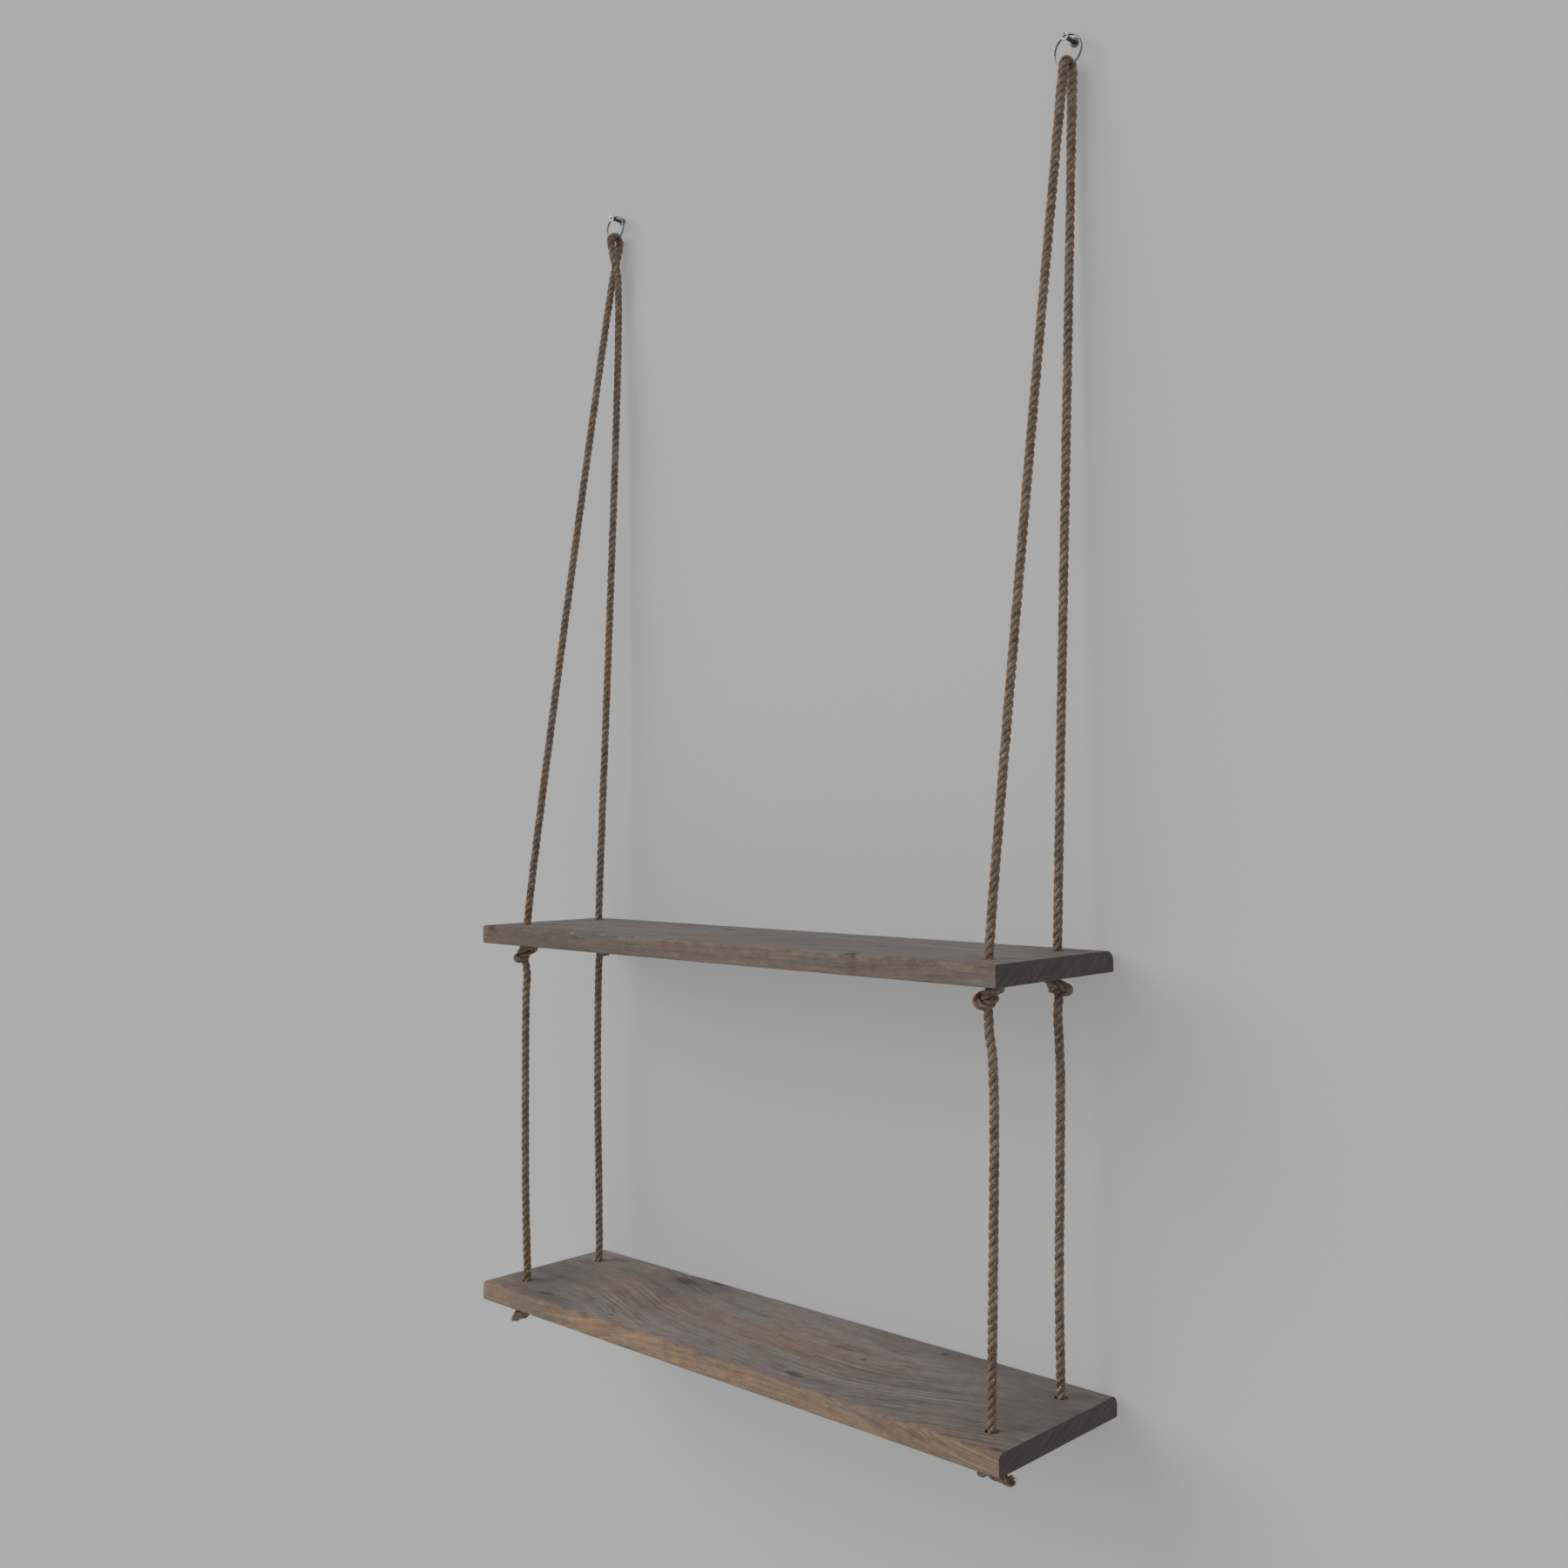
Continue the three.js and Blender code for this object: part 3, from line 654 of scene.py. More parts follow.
def press_apart(spots, step):
    """Moves turns that are nearer than one spacing apart, and keeps them below the plank."""
    gaps = spots[:, None] - spots[None]
    distances = np.linalg.norm(gaps, axis=2)
    first, second = np.nonzero(np.triu(distances < 1.0, math.ceil(NEIGHBOUR_REACH / step)))
    pushes, counts = np.zeros_like(spots), np.zeros(len(spots))
    near = distances[first, second][:, None]
    moves = gaps[first, second] * (1 - near) / near
    for turn, move in ((first, moves), (second, -moves)):
        np.add.at(pushes, turn, move)
        np.add.at(counts, turn, 1)
    spots[1:-1] += (pushes * (PRESS_SHARE / np.maximum(counts, 1))[:, None])[1:-1]
    outside = np.arange(len(spots)) * step > HOLE_REACH
    spots[outside, 2] = np.minimum(spots[outside, 2], -0.5)


def tightened(route):
    """Pulls a knot tight: its rope shortens until the turns rest on each other, under the plank."""
    spots = evenly(route, KNOT_STATIONS)
    for _ in range(TIGHTEN_ROUNDS):
        step = np.linalg.norm(spots[1] - spots[0])
        spots[1:-1] = (spots[1:-1] + (spots[:-2] + spots[2:]) / 2) / 2
        for _ in range(PRESS_PASSES):
            press_apart(spots, step)
        spots = evenly(spots, KNOT_STATIONS)
    top = spots[KNOT_STATIONS // 4:, 2].max()
    spots[:, 2] += -(KNOT_ROPE_RADIUS + SEAT_GAP) / KNOT_TURN - top
    return spots


TIGHT_KNOT = tightened(smooth_through(LOOSE_KNOT, 6))


def knot_route(x, y, top, turn, tail=()):
    """The knot turned about the rope, down to its exit or along its cut tail."""
    cos, sin = math.cos(math.radians(turn)), math.sin(math.radians(turn))
    spots = []
    lowest = TAIL_START if tail else EXIT_START
    leaving = np.nonzero(TIGHT_KNOT[:, 2] > lowest)[0][-1]
    for right, back, up in TIGHT_KNOT[2:leaving + 1]:
        spots.append((right * cos - back * sin, right * sin + back * cos, up))
    spots += tail
    return [(x + KNOT_TURN * right, y + KNOT_TURN * back, top + KNOT_TURN * up)
            for right, back, up in spots]


def corner_place(corner):
    x = HOLE_X if corner.endswith("right") else -HOLE_X
    return x, FRONT_HOLE_Y if corner.startswith("front") else REAR_HOLE_Y


def corner_route(corner):
    """Down from the upper plank's hole to the cut end under the lower plank."""
    x, y = corner_place(corner)
    spots = [(x, y, UPPER_TOP - 2 * MM), (x, y, UPPER_UNDERSIDE + 3 * MM)]
    spots += knot_route(x, y, UPPER_UNDERSIDE, UPPER_TURNS[corner])
    spots += [(x, y, UPPER_PIVOT), (x, y, UPPER_PIVOT - 6 * MM)]
    run = UPPER_PIVOT - LOWER_TOP
    for share, right, back in BOWS[corner]:
        spots.append((x + right * MM, y + back * MM, UPPER_PIVOT - share * run))
    spots += [(x, y, LOWER_TOP + 8 * MM), (x, y, LOWER_TOP), (x, y, LOWER_UNDERSIDE + 3 * MM)]
    spots += knot_route(x, y, LOWER_UNDERSIDE, LOWER_TURNS[corner], TAILS[corner])
    return spots


def tangent_point(hole_y, towards):
    span_y, span_z = hole_y - RING_Y, UPPER_TOP - BEND_Z
    return math.atan2(span_z, span_y) + towards * math.acos(BEND_RADIUS / math.hypot(span_y, span_z))


def bridle_bend(x, start, end):
    """Over the ring's lower wire, from the front strand's side to the rear strand's."""
    turns = np.linspace(start, end, 13)
    return [(x, RING_Y + BEND_RADIUS * math.cos(t), BEND_Z + BEND_RADIUS * math.sin(t)) for t in turns]


def open_bridle(x):
    return bridle_bend(x, tangent_point(FRONT_HOLE_Y, -1) % math.tau, tangent_point(REAR_HOLE_Y, 1))


def crossing(x, side):
    """From where the strands lie side by side up to the ring, where one lies behind the other."""
    spots = []
    for i in range(CROSSING_STEPS):
        angle = math.pi / 2 * i / CROSSING_STEPS
        spots.append((x + side * CROSSING_OFFSET * math.cos(angle),
                      RING_Y - side * BEND_RADIUS * math.sin(angle),
                      BEND_Z - CROSSING_DROP * (1 - i / CROSSING_STEPS)))
    return spots


def crossed_bridle(x):
    """Half a turn in the bridle: the front strand passes the rear one and goes up behind it."""
    return crossing(x, -1) + bridle_bend(x, 0, math.pi) + crossing(x, 1)[::-1]


def rope_piece(name, rope, start, end, body, node, scale=1.0, hairy=True):
    piece = laid_rope(name, rope, start, end, scale)
    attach(piece, body)
    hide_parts(node)
    if hairy:
        fuzz(name + "_fibres", rope, start, end, body)


BEND_HALF_LENGTH = 5 * MM
BEND_SCALE = 0.95


def bend_piece(name, rope, middle_place, body, node):
    """The short plain stretch at a pivot, a little thinner than the pieces that it joins."""
    rope_piece(name, rope, middle_place - BEND_HALF_LENGTH, middle_place + BEND_HALF_LENGTH,
               body, node, BEND_SCALE, hairy=False)


CUT_YARNS = 130
CUT_YARN_THICKNESS = 0.32 * MM
CUT_YARN_ROOT = 3 * MM


def cut_brush(name, rope, at_start, body):
    """Loose yarn ends at a cut end of rope."""
    index = 1 if at_start else len(rope.along) - 2
    outwards = -rope.tangents[index] if at_start else rope.tangents[index]
    angles = rng.uniform(0, math.tau, CUT_YARNS)
    reach = np.sqrt(rng.uniform(0, 1, CUT_YARNS)) * ROPE_RADIUS
    across = radial(rope, index, angles)
    bases = rope.points[index] + across * reach[:, None] - outwards * CUT_YARN_ROOT
    flare = (reach / ROPE_RADIUS * 0.22)[:, None]
    directions = unit(outwards + across * flare + rng.normal(0, 0.14, (CUT_YARNS, 3)))
    lengths = rng.uniform(3.2, 5.4, CUT_YARNS) * MM
    bends = rng.normal(0, 0.22, (CUT_YARNS, 3))
    fibres(name, bases, directions, bends, lengths, CUT_YARN_THICKNESS, body)


# Neighbouring pieces of one rope run into each other by this length
HIDDEN_END = 3.2 * MM


def add_side(side):
    """One rope from the front cut end up over the ring and down to the rear cut end, in pieces."""
    x = corner_place(side)[0]
    spots = corner_route("front_" + side)[::-1]
    spots += crossed_bridle(x) if side == "left" else open_bridle(x)
    spots += corner_route("rear_" + side)
    rope = Rope(smooth_through(spots), LOOSE_LENGTH[side])
    bridle_ends = []
    for front in (True, False):
        corner = ("front_" if front else "rear_") + side
        x, y = corner_place(corner)
        lower, pivot, upper = (rope.nearest((x, y, z)) for z in (LOWER_TOP, UPPER_PIVOT, UPPER_TOP))
        tail = 0.0 if front else rope.length
        hidden = HIDDEN_END if front else -HIDDEN_END
        for name, start, end, body, node in (
            ("lower_knot_rope_", tail, lower + hidden, "lower_shelf", "lower_knot_"),
            ("run_rope_", lower - hidden, pivot + hidden, "rope_" + corner, "hanging_rope_"),
            ("upper_knot_rope_", pivot - hidden, upper + hidden, "upper_shelf", "upper_knot_"),
        ):
            rope_piece(name + corner, rope, min(start, end), max(start, end), body, node + corner)
        bend_piece("bend_rope_" + corner, rope, pivot, "bend_" + corner, "rope_bend_" + corner)
        cut_brush("cut_end_" + corner, rope, front, "lower_shelf")
        if corner == "front_left":
            bend_piece("lower_bend_rope_" + corner, rope, lower, "lower_bend", "lower_rope_bend_" + corner)
        bridle_ends.append(upper - hidden)
    rope_piece("bridle_" + side, rope, *bridle_ends, side + "_bridle", "bridle_rope_" + side)


for side in SIDES:
    add_side(side)


# Small metal and plastic pieces
def keep_sharp(piece, degrees):
    piece.data.set_sharp_from_angle(angle=math.radians(degrees))


def turned_mesh(profile, x, sides):
    """Vertices and faces of a profile of radius and Y, turned round the screw's axis."""
    vertices, rings = [], []
    for radius, y in profile:
        if radius < 1e-7:
            rings.append([len(vertices)] * sides)
            vertices.append((x, y, 0.0))
        else:
            rings.append([len(vertices) + k for k in range(sides)])
            vertices += [(x + radius * cos, y, radius * sin) for cos, sin in circle(sides)]
    faces = []
    for low, high in zip(rings, rings[1:]):
        for k in range(sides):
            corners = (low[k], low[(k + 1) % sides], high[(k + 1) % sides], high[k])
            corners = tuple(dict.fromkeys(corners))
            if len(corners) > 2:
                faces.append(corners)
    return vertices, faces


def outward_normals(piece):
    mesh = bmesh.new()
    mesh.from_mesh(piece.data)
    bmesh.ops.recalc_face_normals(mesh, faces=mesh.faces)
    mesh.to_mesh(piece.data)
    mesh.free()


def carve(piece, solids):
    """Cuts solids, each of them vertices and faces, out of the piece."""
    vertices, faces = [], []
    for more_vertices, more_faces in solids:
        base = len(vertices)
        vertices += more_vertices
        faces += [tuple(base + index for index in face) for face in more_faces]
    tool = new_object("carving_tool", vertices, faces, piece.data.materials[0], smooth=False)
    outward_normals(tool)
    cutter = piece.modifiers.new("cut", "BOOLEAN")
    cutter.operation = "DIFFERENCE"
    cutter.solver = "EXACT"
    cutter.object = tool
    shown = bpy.context.evaluated_depsgraph_get()
    carved = bpy.data.meshes.new_from_object(piece.evaluated_get(shown))
    piece.modifiers.clear()
    piece.data = carved
    bpy.data.objects.remove(tool)


def wedge(x, half_width, half_height, y_near, y_far, narrowing=1.0):
    """A block that narrows from its near end to its far end."""
    corners = []
    for y, share in ((y_near, 1.0), (y_far, narrowing)):
        corners += [(x + sx * half_width * share, y, sz * half_height * share)
                    for sx, sz in ((-1, -1), (1, -1), (1, 1), (-1, 1))]
    return corners, [(0, 1, 2, 3), (4, 5, 6, 7)] + ring_faces(0, 2, 4)


TURNED_SIDES = 40
SCREW_RADIUS = 2.0 * MM
SCREW_HEAD_RADIUS = 4.3 * MM
SCREW_CORE_RADIUS = 1.45 * MM
SCREW_RIM = 0.25 * MM
SCREW_POINT = 6 * MM
THREAD_POINT = 5 * MM
THREAD_PITCH = 2.0 * MM
THREAD_START = 1.5 * MM
THREAD_SLOPE = 4.2
RECESS_SPAN = 5.4 * MM
RECESS_WIDTH = 1.2 * MM
RECESS_DEPTH = 1.9 * MM
RECESS_NARROWING = 0.45


def add_thread(vertices, faces, x, tip):
    """The screw's thread from its start to the tip, on from the last ring of vertices."""
    first = len(vertices) - TURNED_SIDES
    rows = int((tip - THREAD_START) / (THREAD_PITCH / 10))
    for row in range(1, rows + 1):
        y = THREAD_START + (tip - THREAD_START) * row / rows
        core = SCREW_CORE_RADIUS * min(1.0, (tip - y) / SCREW_POINT + 0.02)
        crest = SCREW_RADIUS * 0.98 * min(1.0, (tip - y) / THREAD_POINT + 0.02)
        for k, (cos, sin) in enumerate(circle(TURNED_SIDES)):
            share = ((y - THREAD_START) / THREAD_PITCH + k / TURNED_SIDES) % 1.0
            height = max(0.0, 1 - abs(share - 0.5) * THREAD_SLOPE)
            radius = core + (crest - core) * height
            vertices.append((x + radius * cos, y, radius * sin))
    faces += ring_faces(first, rows + 1, TURNED_SIDES)
    last = first + rows * TURNED_SIDES
    vertices.append((x, tip, 0.0))
    faces += [(last + k, last + (k + 1) % TURNED_SIDES, len(vertices) - 1) for k in range(TURNED_SIDES)]


def wall_screw(side):
    node = "wall_screw_" + side
    low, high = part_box(node)
    x = middle(node)[0]
    head = low[1]
    profile = [(0.0, head + 0.05 * MM), (2.4 * MM, head), (SCREW_HEAD_RADIUS - 0.35 * MM, head + 0.02 * MM)]
    for angle in (math.pi / 8 * k for k in range(1, 5)):
        profile.append((SCREW_HEAD_RADIUS - SCREW_RIM * (1 - math.sin(angle)),
                        head + SCREW_RIM * (1 - math.cos(angle))))
    profile += [(SCREW_HEAD_RADIUS, head + 0.5 * MM), (SCREW_HEAD_RADIUS - 0.4 * MM, head + 0.75 * MM),
                (2.2 * MM, head + 2.5 * MM), (SCREW_RADIUS, head + 2.9 * MM), (SCREW_RADIUS, THREAD_START)]
    vertices, faces = turned_mesh(profile, x, TURNED_SIDES)
    add_thread(vertices, faces, x, high[1])
    screw = new_object("screw_" + side, vertices, faces, ZINC)
    outward_normals(screw)
    for width, height in ((RECESS_SPAN, RECESS_WIDTH), (RECESS_WIDTH, RECESS_SPAN)):
        slit = wedge(x, width / 2, height / 2, head - 0.5 * MM, head + RECESS_DEPTH, RECESS_NARROWING)
        carve(screw, [slit])
    keep_sharp(screw, 32)
    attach(screw, "wall_fixings")
    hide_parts(node)


PLUG_RADIUS = 3.2 * MM
PLUG_BORE = 2.3 * MM
COLLAR_RADIUS = 4.5 * MM
COLLAR_RIM = 0.25 * MM
BARB_START = 6 * MM
BARB_SPACING = 5 * MM
BARB_HEIGHT = 0.45 * MM
PLUG_END = 2 * MM
SLOT_HALF_WIDTH = 0.45 * MM
SLOT_HALF_LENGTH = 10 * MM


def wall_plug(side):
    node = "wall_plug_" + side
    low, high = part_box(node)
    x = middle(node)[0]
    front, length = low[1], high[1]
    profile = [(PLUG_BORE, front), (COLLAR_RADIUS - COLLAR_RIM, front), (COLLAR_RADIUS, front + COLLAR_RIM),
               (COLLAR_RADIUS, -0.05 * MM), (PLUG_RADIUS, 0.0)]
    barb = BARB_START
    while barb + BARB_SPACING <= length - PLUG_END:
        profile += [(PLUG_RADIUS, barb), (PLUG_RADIUS + BARB_HEIGHT, barb + 0.1 * MM),
                    (PLUG_RADIUS, barb + 2.5 * MM)]
        barb += BARB_SPACING
    profile += [(PLUG_RADIUS, length - PLUG_END), (PLUG_RADIUS - 0.3 * MM, length - 1 * MM),
                (PLUG_RADIUS - 1 * MM, length), (0.0, length), (0.0, length - PLUG_END),
                (PLUG_BORE, length - PLUG_END)]
    vertices, faces = turned_mesh(profile, x, TURNED_SIDES)
    ring = len(vertices) - TURNED_SIDES
    for k in range(TURNED_SIDES):
        after = (k + 1) % TURNED_SIDES
        faces.append((ring + k, ring + after, after, k))
    plug = new_object("plug_" + side, vertices, faces, PLASTIC)
    outward_normals(plug)
    slot_middle = length - 12 * MM
    slot = wedge(x, SLOT_HALF_WIDTH, 8 * MM, slot_middle - SLOT_HALF_LENGTH, slot_middle + SLOT_HALF_LENGTH)
    carve(plug, [slot])
    keep_sharp(plug, 35)
    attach(plug, "wall_fixings")
    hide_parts(node)


RING_WIRE_RADIUS = 0.6 * MM
RING_TURN_OFFSET = 0.75 * MM
RING_SPLIT_ANGLE = math.radians(250)
RING_STEP_ANGLE = math.radians(16)
RING_STEPS = 220
RING_SIDES = 14
RING_END_SHARES = (0.45, 0.8, 0.95, 1)


def split_ring(side):
    """Two turns of wire side by side, stepping over from one to the other at the split."""
    node = "split_ring_" + side
    low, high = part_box(node)
    x, y, centre_z = middle(node)
    radius = (high[2] - low[2]) / 2 - RING_WIRE_RADIUS
    spots = []
    sweep = 2 * math.tau - 2 * RING_STEP_ANGLE
    for i in range(RING_STEPS + 1):
        angle = RING_STEP_ANGLE + sweep * i / RING_STEPS
        share = min(max((angle - math.tau + RING_STEP_ANGLE) / (2 * RING_STEP_ANGLE), 0), 1)
        share = share * share * (3 - 2 * share)
        turn = RING_SPLIT_ANGLE + angle
        spots.append((x + radius * math.sin(turn), y + RING_TURN_OFFSET * (2 * share - 1),
                      centre_z + radius * math.cos(turn)))
    spots = np.array(spots)
    across = np.array([0.0, 1.0, 0.0])
    vertices = []
    for i, (spot, tangent) in enumerate(zip(spots, unit(np.gradient(spots, axis=0)))):
        first = unit(across - tangent * (across @ tangent))
        second = np.cross(tangent, first)
        rounded = RING_WIRE_RADIUS * RING_END_SHARES[min(i, RING_STEPS - i, len(RING_END_SHARES) - 1)]
        vertices += [spot + (first * cos + second * sin) * rounded for cos, sin in circle(RING_SIDES)]
    ring = new_object("ring_" + side, vertices, tube_faces(0, RING_STEPS + 1, RING_SIDES), STEEL)
    outward_normals(ring)
    keep_sharp(ring, 50)
    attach(ring, side + "_ring")
    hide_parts(node)


for side in SIDES:
    wall_screw(side)
    wall_plug(side)
    split_ring(side)


# Planks: fine meshes with worn arrises, cut through by the rope holes
RELIEF_STEP = 1.5 * MM
STATION_STEP = 5 * MM
HOLE_RADIUS = 5.5 * MM
HOLE_WEAR = 0.4 * MM
HOLE_WEAR_DEPTH = 1.6 * MM
HOLE_SIDES = 48
END_ROUND = 1.2 * MM
END_INSET = 0.7 * MM
END_STEPS = 6
DEEPEST_WEAR = 1.1 * MM
END_WEAR_REACH = 9 * MM
SOFT_SCALE = 55.0
CHIP_SCALE = 42.0
RIPPLE_SCALE = 420.0
END_FACE_DEPTH = 0.975
END_FACE_HEIGHT = 0.78
ARRIS = 1.2 * MM
ARRIS_STEPS = 7


def plank_outline(depth, thickness, back_depth, back_height, front_round):
    """The section from the lower front corner round to the back, as points with an arris share."""
    spots = []

    def line(y0, z0, y1, z1):
        count = max(int(math.hypot(y1 - y0, z1 - z0) / RELIEF_STEP), 1)
        for i in range(count):
            spots.append((y0 + (y1 - y0) * i / count, z0 + (z1 - z0) * i / count, 0.0))

    def corner(centre_y, centre_z, reach_y, reach_z, start, wear):
        for i in range(ARRIS_STEPS):
            angle = math.radians(start + 90 * i / ARRIS_STEPS)
            spots.append((centre_y + reach_y * math.cos(angle), centre_z + reach_z * math.sin(angle), wear))

    corner(-depth + ARRIS, -thickness + ARRIS, ARRIS, ARRIS, 180, 0.8)
    line(-depth + ARRIS, -thickness, -ARRIS, -thickness)
    corner(-ARRIS, -thickness + ARRIS, ARRIS, ARRIS, 270, 0.7)
    line(0, -thickness + ARRIS, 0, -back_height)
    corner(-back_depth, -back_height, back_depth, back_height, 0, 0.3)
    line(-back_depth, 0, -depth + front_round, 0)
    corner(-depth + front_round, -front_round, front_round, front_round, 90, 1.0)
    line(-depth, -front_round, -depth, -thickness + ARRIS)
    return spots


def surface_noise(x, y, z, scale, octaves=3):
    place = Vector((x * scale, y * scale, z * scale))
    return mathutils.noise.fractal(place, 1.0, 2.0, octaves)


def hole_cutter(x, y, top, thickness):
    """A round tool whose mouths widen a little at both faces of the plank."""
    mouth = []
    for share in (0, 0.4, 0.75, 1.0):
        mouth.append((HOLE_RADIUS + HOLE_WEAR * (1 - share) ** 2, -share * HOLE_WEAR_DEPTH))
    profile = mouth + [(radius, -thickness - z) for radius, z in reversed(mouth)]
    flange = mouth[0][0] + 0.5 * MM
    profile = [(flange, 1 * MM)] + profile + [(flange, -thickness - 1 * MM)]
    vertices = []
    for radius, z in profile:
        vertices += [(x + radius * cos, y + radius * sin, top + z) for cos, sin in circle(HOLE_SIDES)]
    return vertices, tube_faces(0, len(profile), HOLE_SIDES)


def plank_mesh(name, node, back_depth, back_height, front_round, offset, material):
    low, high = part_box(node)
    top = high[2]
    length, depth, thickness = (end - start for start, end in zip(low, high))
    outline = np.array(plank_outline(depth, thickness, back_depth, back_height, front_round))
    section, wear = outline[:, :2], outline[:, 2]
    run = unit(np.roll(section, -1, axis=0) - np.roll(section, 1, axis=0))
    outward = np.stack([run[:, 1], -run[:, 0]], axis=1)
    stations = [(-length / 2 + END_ROUND * (1 - math.cos(a)), 1 - math.sin(a))
                for a in np.linspace(0, math.pi / 2, END_STEPS)]
    inner = np.arange(-length / 2 + END_ROUND + STATION_STEP, length / 2 - END_ROUND, STATION_STEP)
    stations += [(x, 0.0) for x in inner]
    stations += [(-x, inset) for x, inset in reversed(stations[:END_STEPS])]
    vertices = []
    for x, inset in stations:
        near_end = max(0.0, 1 - (length / 2 - abs(x)) / END_WEAR_REACH)
        for (y, z), (out_y, out_z), share in zip(section, outward, wear):
            soft = surface_noise(x * 0.25 + offset, y, z, SOFT_SCALE)
            chip = max(0.0, surface_noise(x + offset, y * 0.6, z, CHIP_SCALE, 4) - 0.05)
            ripple = surface_noise(x * 0.06 + offset, y, z, RIPPLE_SCALE, 2)
            inward = 0.10 * MM + 0.16 * MM * (soft + 0.6) + 0.05 * MM * (ripple + 0.6)
            inward += share * (0.35 * MM * (soft + 0.6) + 1.5 * MM * chip)
            inward += near_end * (0.25 + share) * 1.3 * MM * chip
            inward = min(max(inward, inset * END_INSET), DEEPEST_WEAR)
            vertices.append((x, y - out_y * inward, z - out_z * inward + top))
    count = len(section)
    faces = ring_faces(0, len(stations), count)
    # Each end face has an unworn outline a little inside the worn one
    for row in (0, len(stations) - 1):
        inner = len(vertices)
        for y, z in section:
            vertices.append((stations[row][0], (y + depth / 2) * END_FACE_DEPTH - depth / 2,
                             (z + thickness / 2) * END_FACE_HEIGHT - thickness / 2 + top))
        for k in range(count):
            a, b = row * count + k, row * count + (k + 1) % count
            faces.append((a, b, inner + (k + 1) % count, inner + k))
        faces.append(tuple(range(inner, inner + count)))
    piece = new_object(name, vertices, faces, material)
    outward_normals(piece)
    carve(piece, [hole_cutter(*corner_place(corner), top, thickness) for corner in CORNERS])
    keep_sharp(piece, 40)
    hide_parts(node)
    return piece


upper_wood = wood_material(Wood(
    "upper_weathered_wood", UPPER_TOP,
    bends=((-0.35, -0.1, -0.012), (0.05, 0.34, 0.016)),
    knots=((0.195, -0.176, 0.016, 0.014, -0.006), (-0.332, -0.176, 0.02, 0.012, 0.005),
           (-0.09, -0.05, 0.02, 0.012, 0.006), (0.16, -0.1, 0.012, 0.008, 0.003)),
    figures=((0.05, -0.1, 0.12, 0.05),),
    patches=((0, -0.17, 0.03, 0.014), (0.3, -0.155, 0.035, 0.02), (-0.325, -0.175, 0.03, 0.015)),
    # Darker patches, partly painted shade toward the back right
    dark_and_shade=((0.33, -0.02, 0.06, 0.05), (-0.27, -0.175, 0.1, 0.015)),
    ring=0.0042, slant=1.5, front_warmth=0.8,
    greys=((90, 83, 79), (110, 102, 97), (130, 120, 114)),
    browns=((87, 74, 63), (106, 91, 79), (128, 111, 96)),
))
lower_wood = wood_material(Wood(
    "lower_weathered_wood", LOWER_TOP,
    bends=((-0.26, -0.06, 0.058), (-0.06, 0.12, 0.01), (0.13, 0.37, -0.074)),
    knots=((0.104, -0.157, 0.022, 0.01, 0.004), (-0.185, -0.028, 0.042, 0.016, 0.012),
           (-0.15, -0.008, 0.03, 0.008, 0.003), (-0.262, -0.16, 0.024, 0.009, 0.003),
           (0.173, -0.02, 0.009, 0.006, 0.002), (0.125, -0.084, 0.008, 0.005, 0.002),
           (0.345, -0.172, 0.02, 0.012, 0.006), (-0.155, -0.16, 0.01, 0.006, 0.003)),
    figures=((-0.175, -0.118, 0.065, 0.04), (0.2, -0.125, 0.14, 0.045), (-0.17, -0.04, 0.04, 0.03),
             (0.3, -0.165, 0.05, 0.03)),
    patches=((-0.235, -0.065, 0.035, 0.045), (-0.09, -0.095, 0.12, 0.022), (0.31, -0.172, 0.06, 0.02),
             (0.06, -0.09, 0.09, 0.03), (-0.33, -0.17, 0.05, 0.014)),
    # Darker patches, partly painted shade toward the back right
    dark_and_shade=((0.33, -0.03, 0.08, 0.09), (0.32, -0.09, 0.04, 0.04), (0.2, -0.01, 0.14, 0.03),
          (-0.17, -0.025, 0.07, 0.03), (-0.31, -0.1, 0.05, 0.05), (-0.26, -0.165, 0.05, 0.02)),
    ring=0.0062, slant=2.2, front_warmth=1,
    greys=((96, 89, 85), (122, 113, 107), (145, 134, 126)),
    browns=((101, 84, 69), (129, 108, 89), (158, 132, 106)),
))
upper_plank = plank_mesh("upper_plank", "upper_board", 12 * MM, 10 * MM, 1.6 * MM, 3.1, upper_wood)
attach(upper_plank, "upper_shelf")
lower_plank = plank_mesh("lower_plank", "lower_board", 8 * MM, 9 * MM, 4.0 * MM, 8.4, lower_wood)
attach(lower_plank, "lower_shelf")


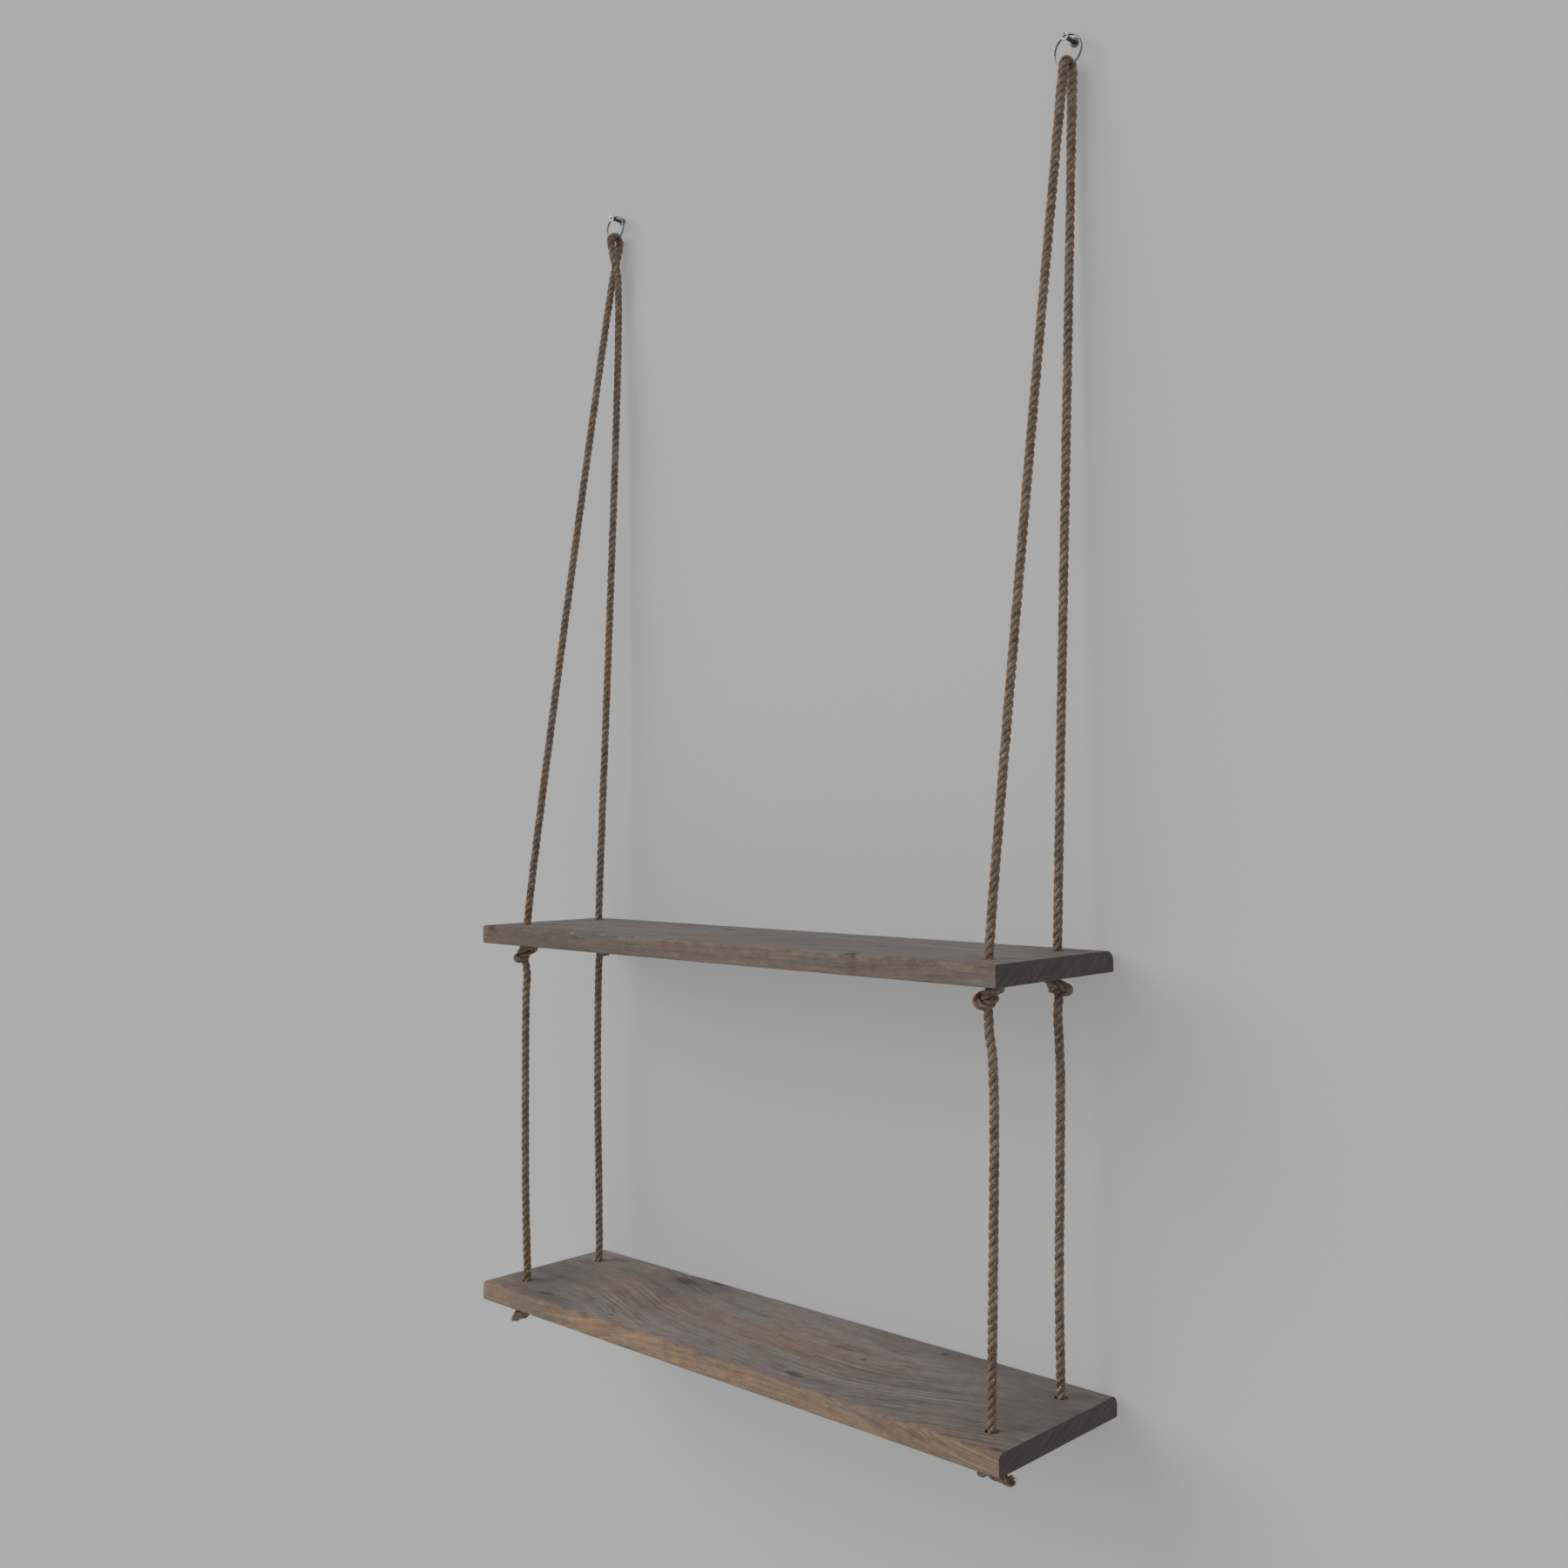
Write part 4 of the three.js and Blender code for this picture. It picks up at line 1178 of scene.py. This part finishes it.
# Backdrop and floor
def plain_material(name, color, shows_from_behind, own_light=0.0):
    n = Nodes(name)
    # The share of its colour that the wall gives off softens the shadows on it
    given_off = [own_light * value for value in color[:3]]
    n.surface([value - own for value, own in zip(color, given_off)] + [1], 1, 0)
    n.set("Emission Color", given_off + [1])
    n.set("Emission Strength", n.add("ShaderNodeLightPath").outputs["Is Camera Ray"])
    if not shows_from_behind:
        behind = n.add("ShaderNodeNewGeometry").outputs["Backfacing"]
        clear = n.add("ShaderNodeBsdfTransparent").outputs[0]
        choice = n.add("ShaderNodeMixShader", behind, n.shader.outputs[0], clear)
        n.put(n.output.inputs["Surface"], choice.outputs[0])
    return n.material


FLOOR_Z = -2.5
WALL_TOP = 4
STAGE_REACH = 7
WALL_GAP = 0.4 * MM

square = ((-1, -1), (1, -1), (1, 1), (-1, 1))
wall = new_object(
    "wall_backdrop", [(x * STAGE_REACH, WALL_GAP, max(z * WALL_TOP, FLOOR_Z)) for x, z in square],
    [(0, 1, 2, 3)], plain_material("plain_wall", srgb(171, 171, 171), False, 0.58), smooth=False,
)
wall.visible_diffuse = False
wall.visible_glossy = False
wall.visible_shadow = False
floor = new_object(
    "floor", [(x * STAGE_REACH, y * STAGE_REACH, FLOOR_Z) for x, y in square],
    [(0, 1, 2, 3)], plain_material("plain_floor", srgb(214, 213, 211), True), smooth=False,
)


def sun_light(name, source, strength, softness):
    data = bpy.data.lights.new(name, "SUN")
    data.energy = strength
    data.angle = math.radians(softness)
    lamp = bpy.data.objects.new(name, data)
    bpy.context.collection.objects.link(lamp)
    lamp.rotation_mode = "QUATERNION"
    lamp.rotation_quaternion = Vector(source).to_track_quat("Z", "Y")


sun_light("key_light", (-0.57, -0.68, 0.46), 2.1, 45)
sun_light("fill_light", (0.75, -0.60, 0.10), 0.20, 80)
sun_light("back_light", (0.20, 0.90, 0.30), 0.70, 60)

world = bpy.data.worlds.new("soft_world")
world.use_nodes = True
background = world.node_tree.nodes["Background"]
background.inputs["Color"].default_value = (1, 1, 1, 1)
background.inputs["Strength"].default_value = 0.52
bpy.context.scene.world = world
bpy.context.scene.view_settings.view_transform = "Standard"
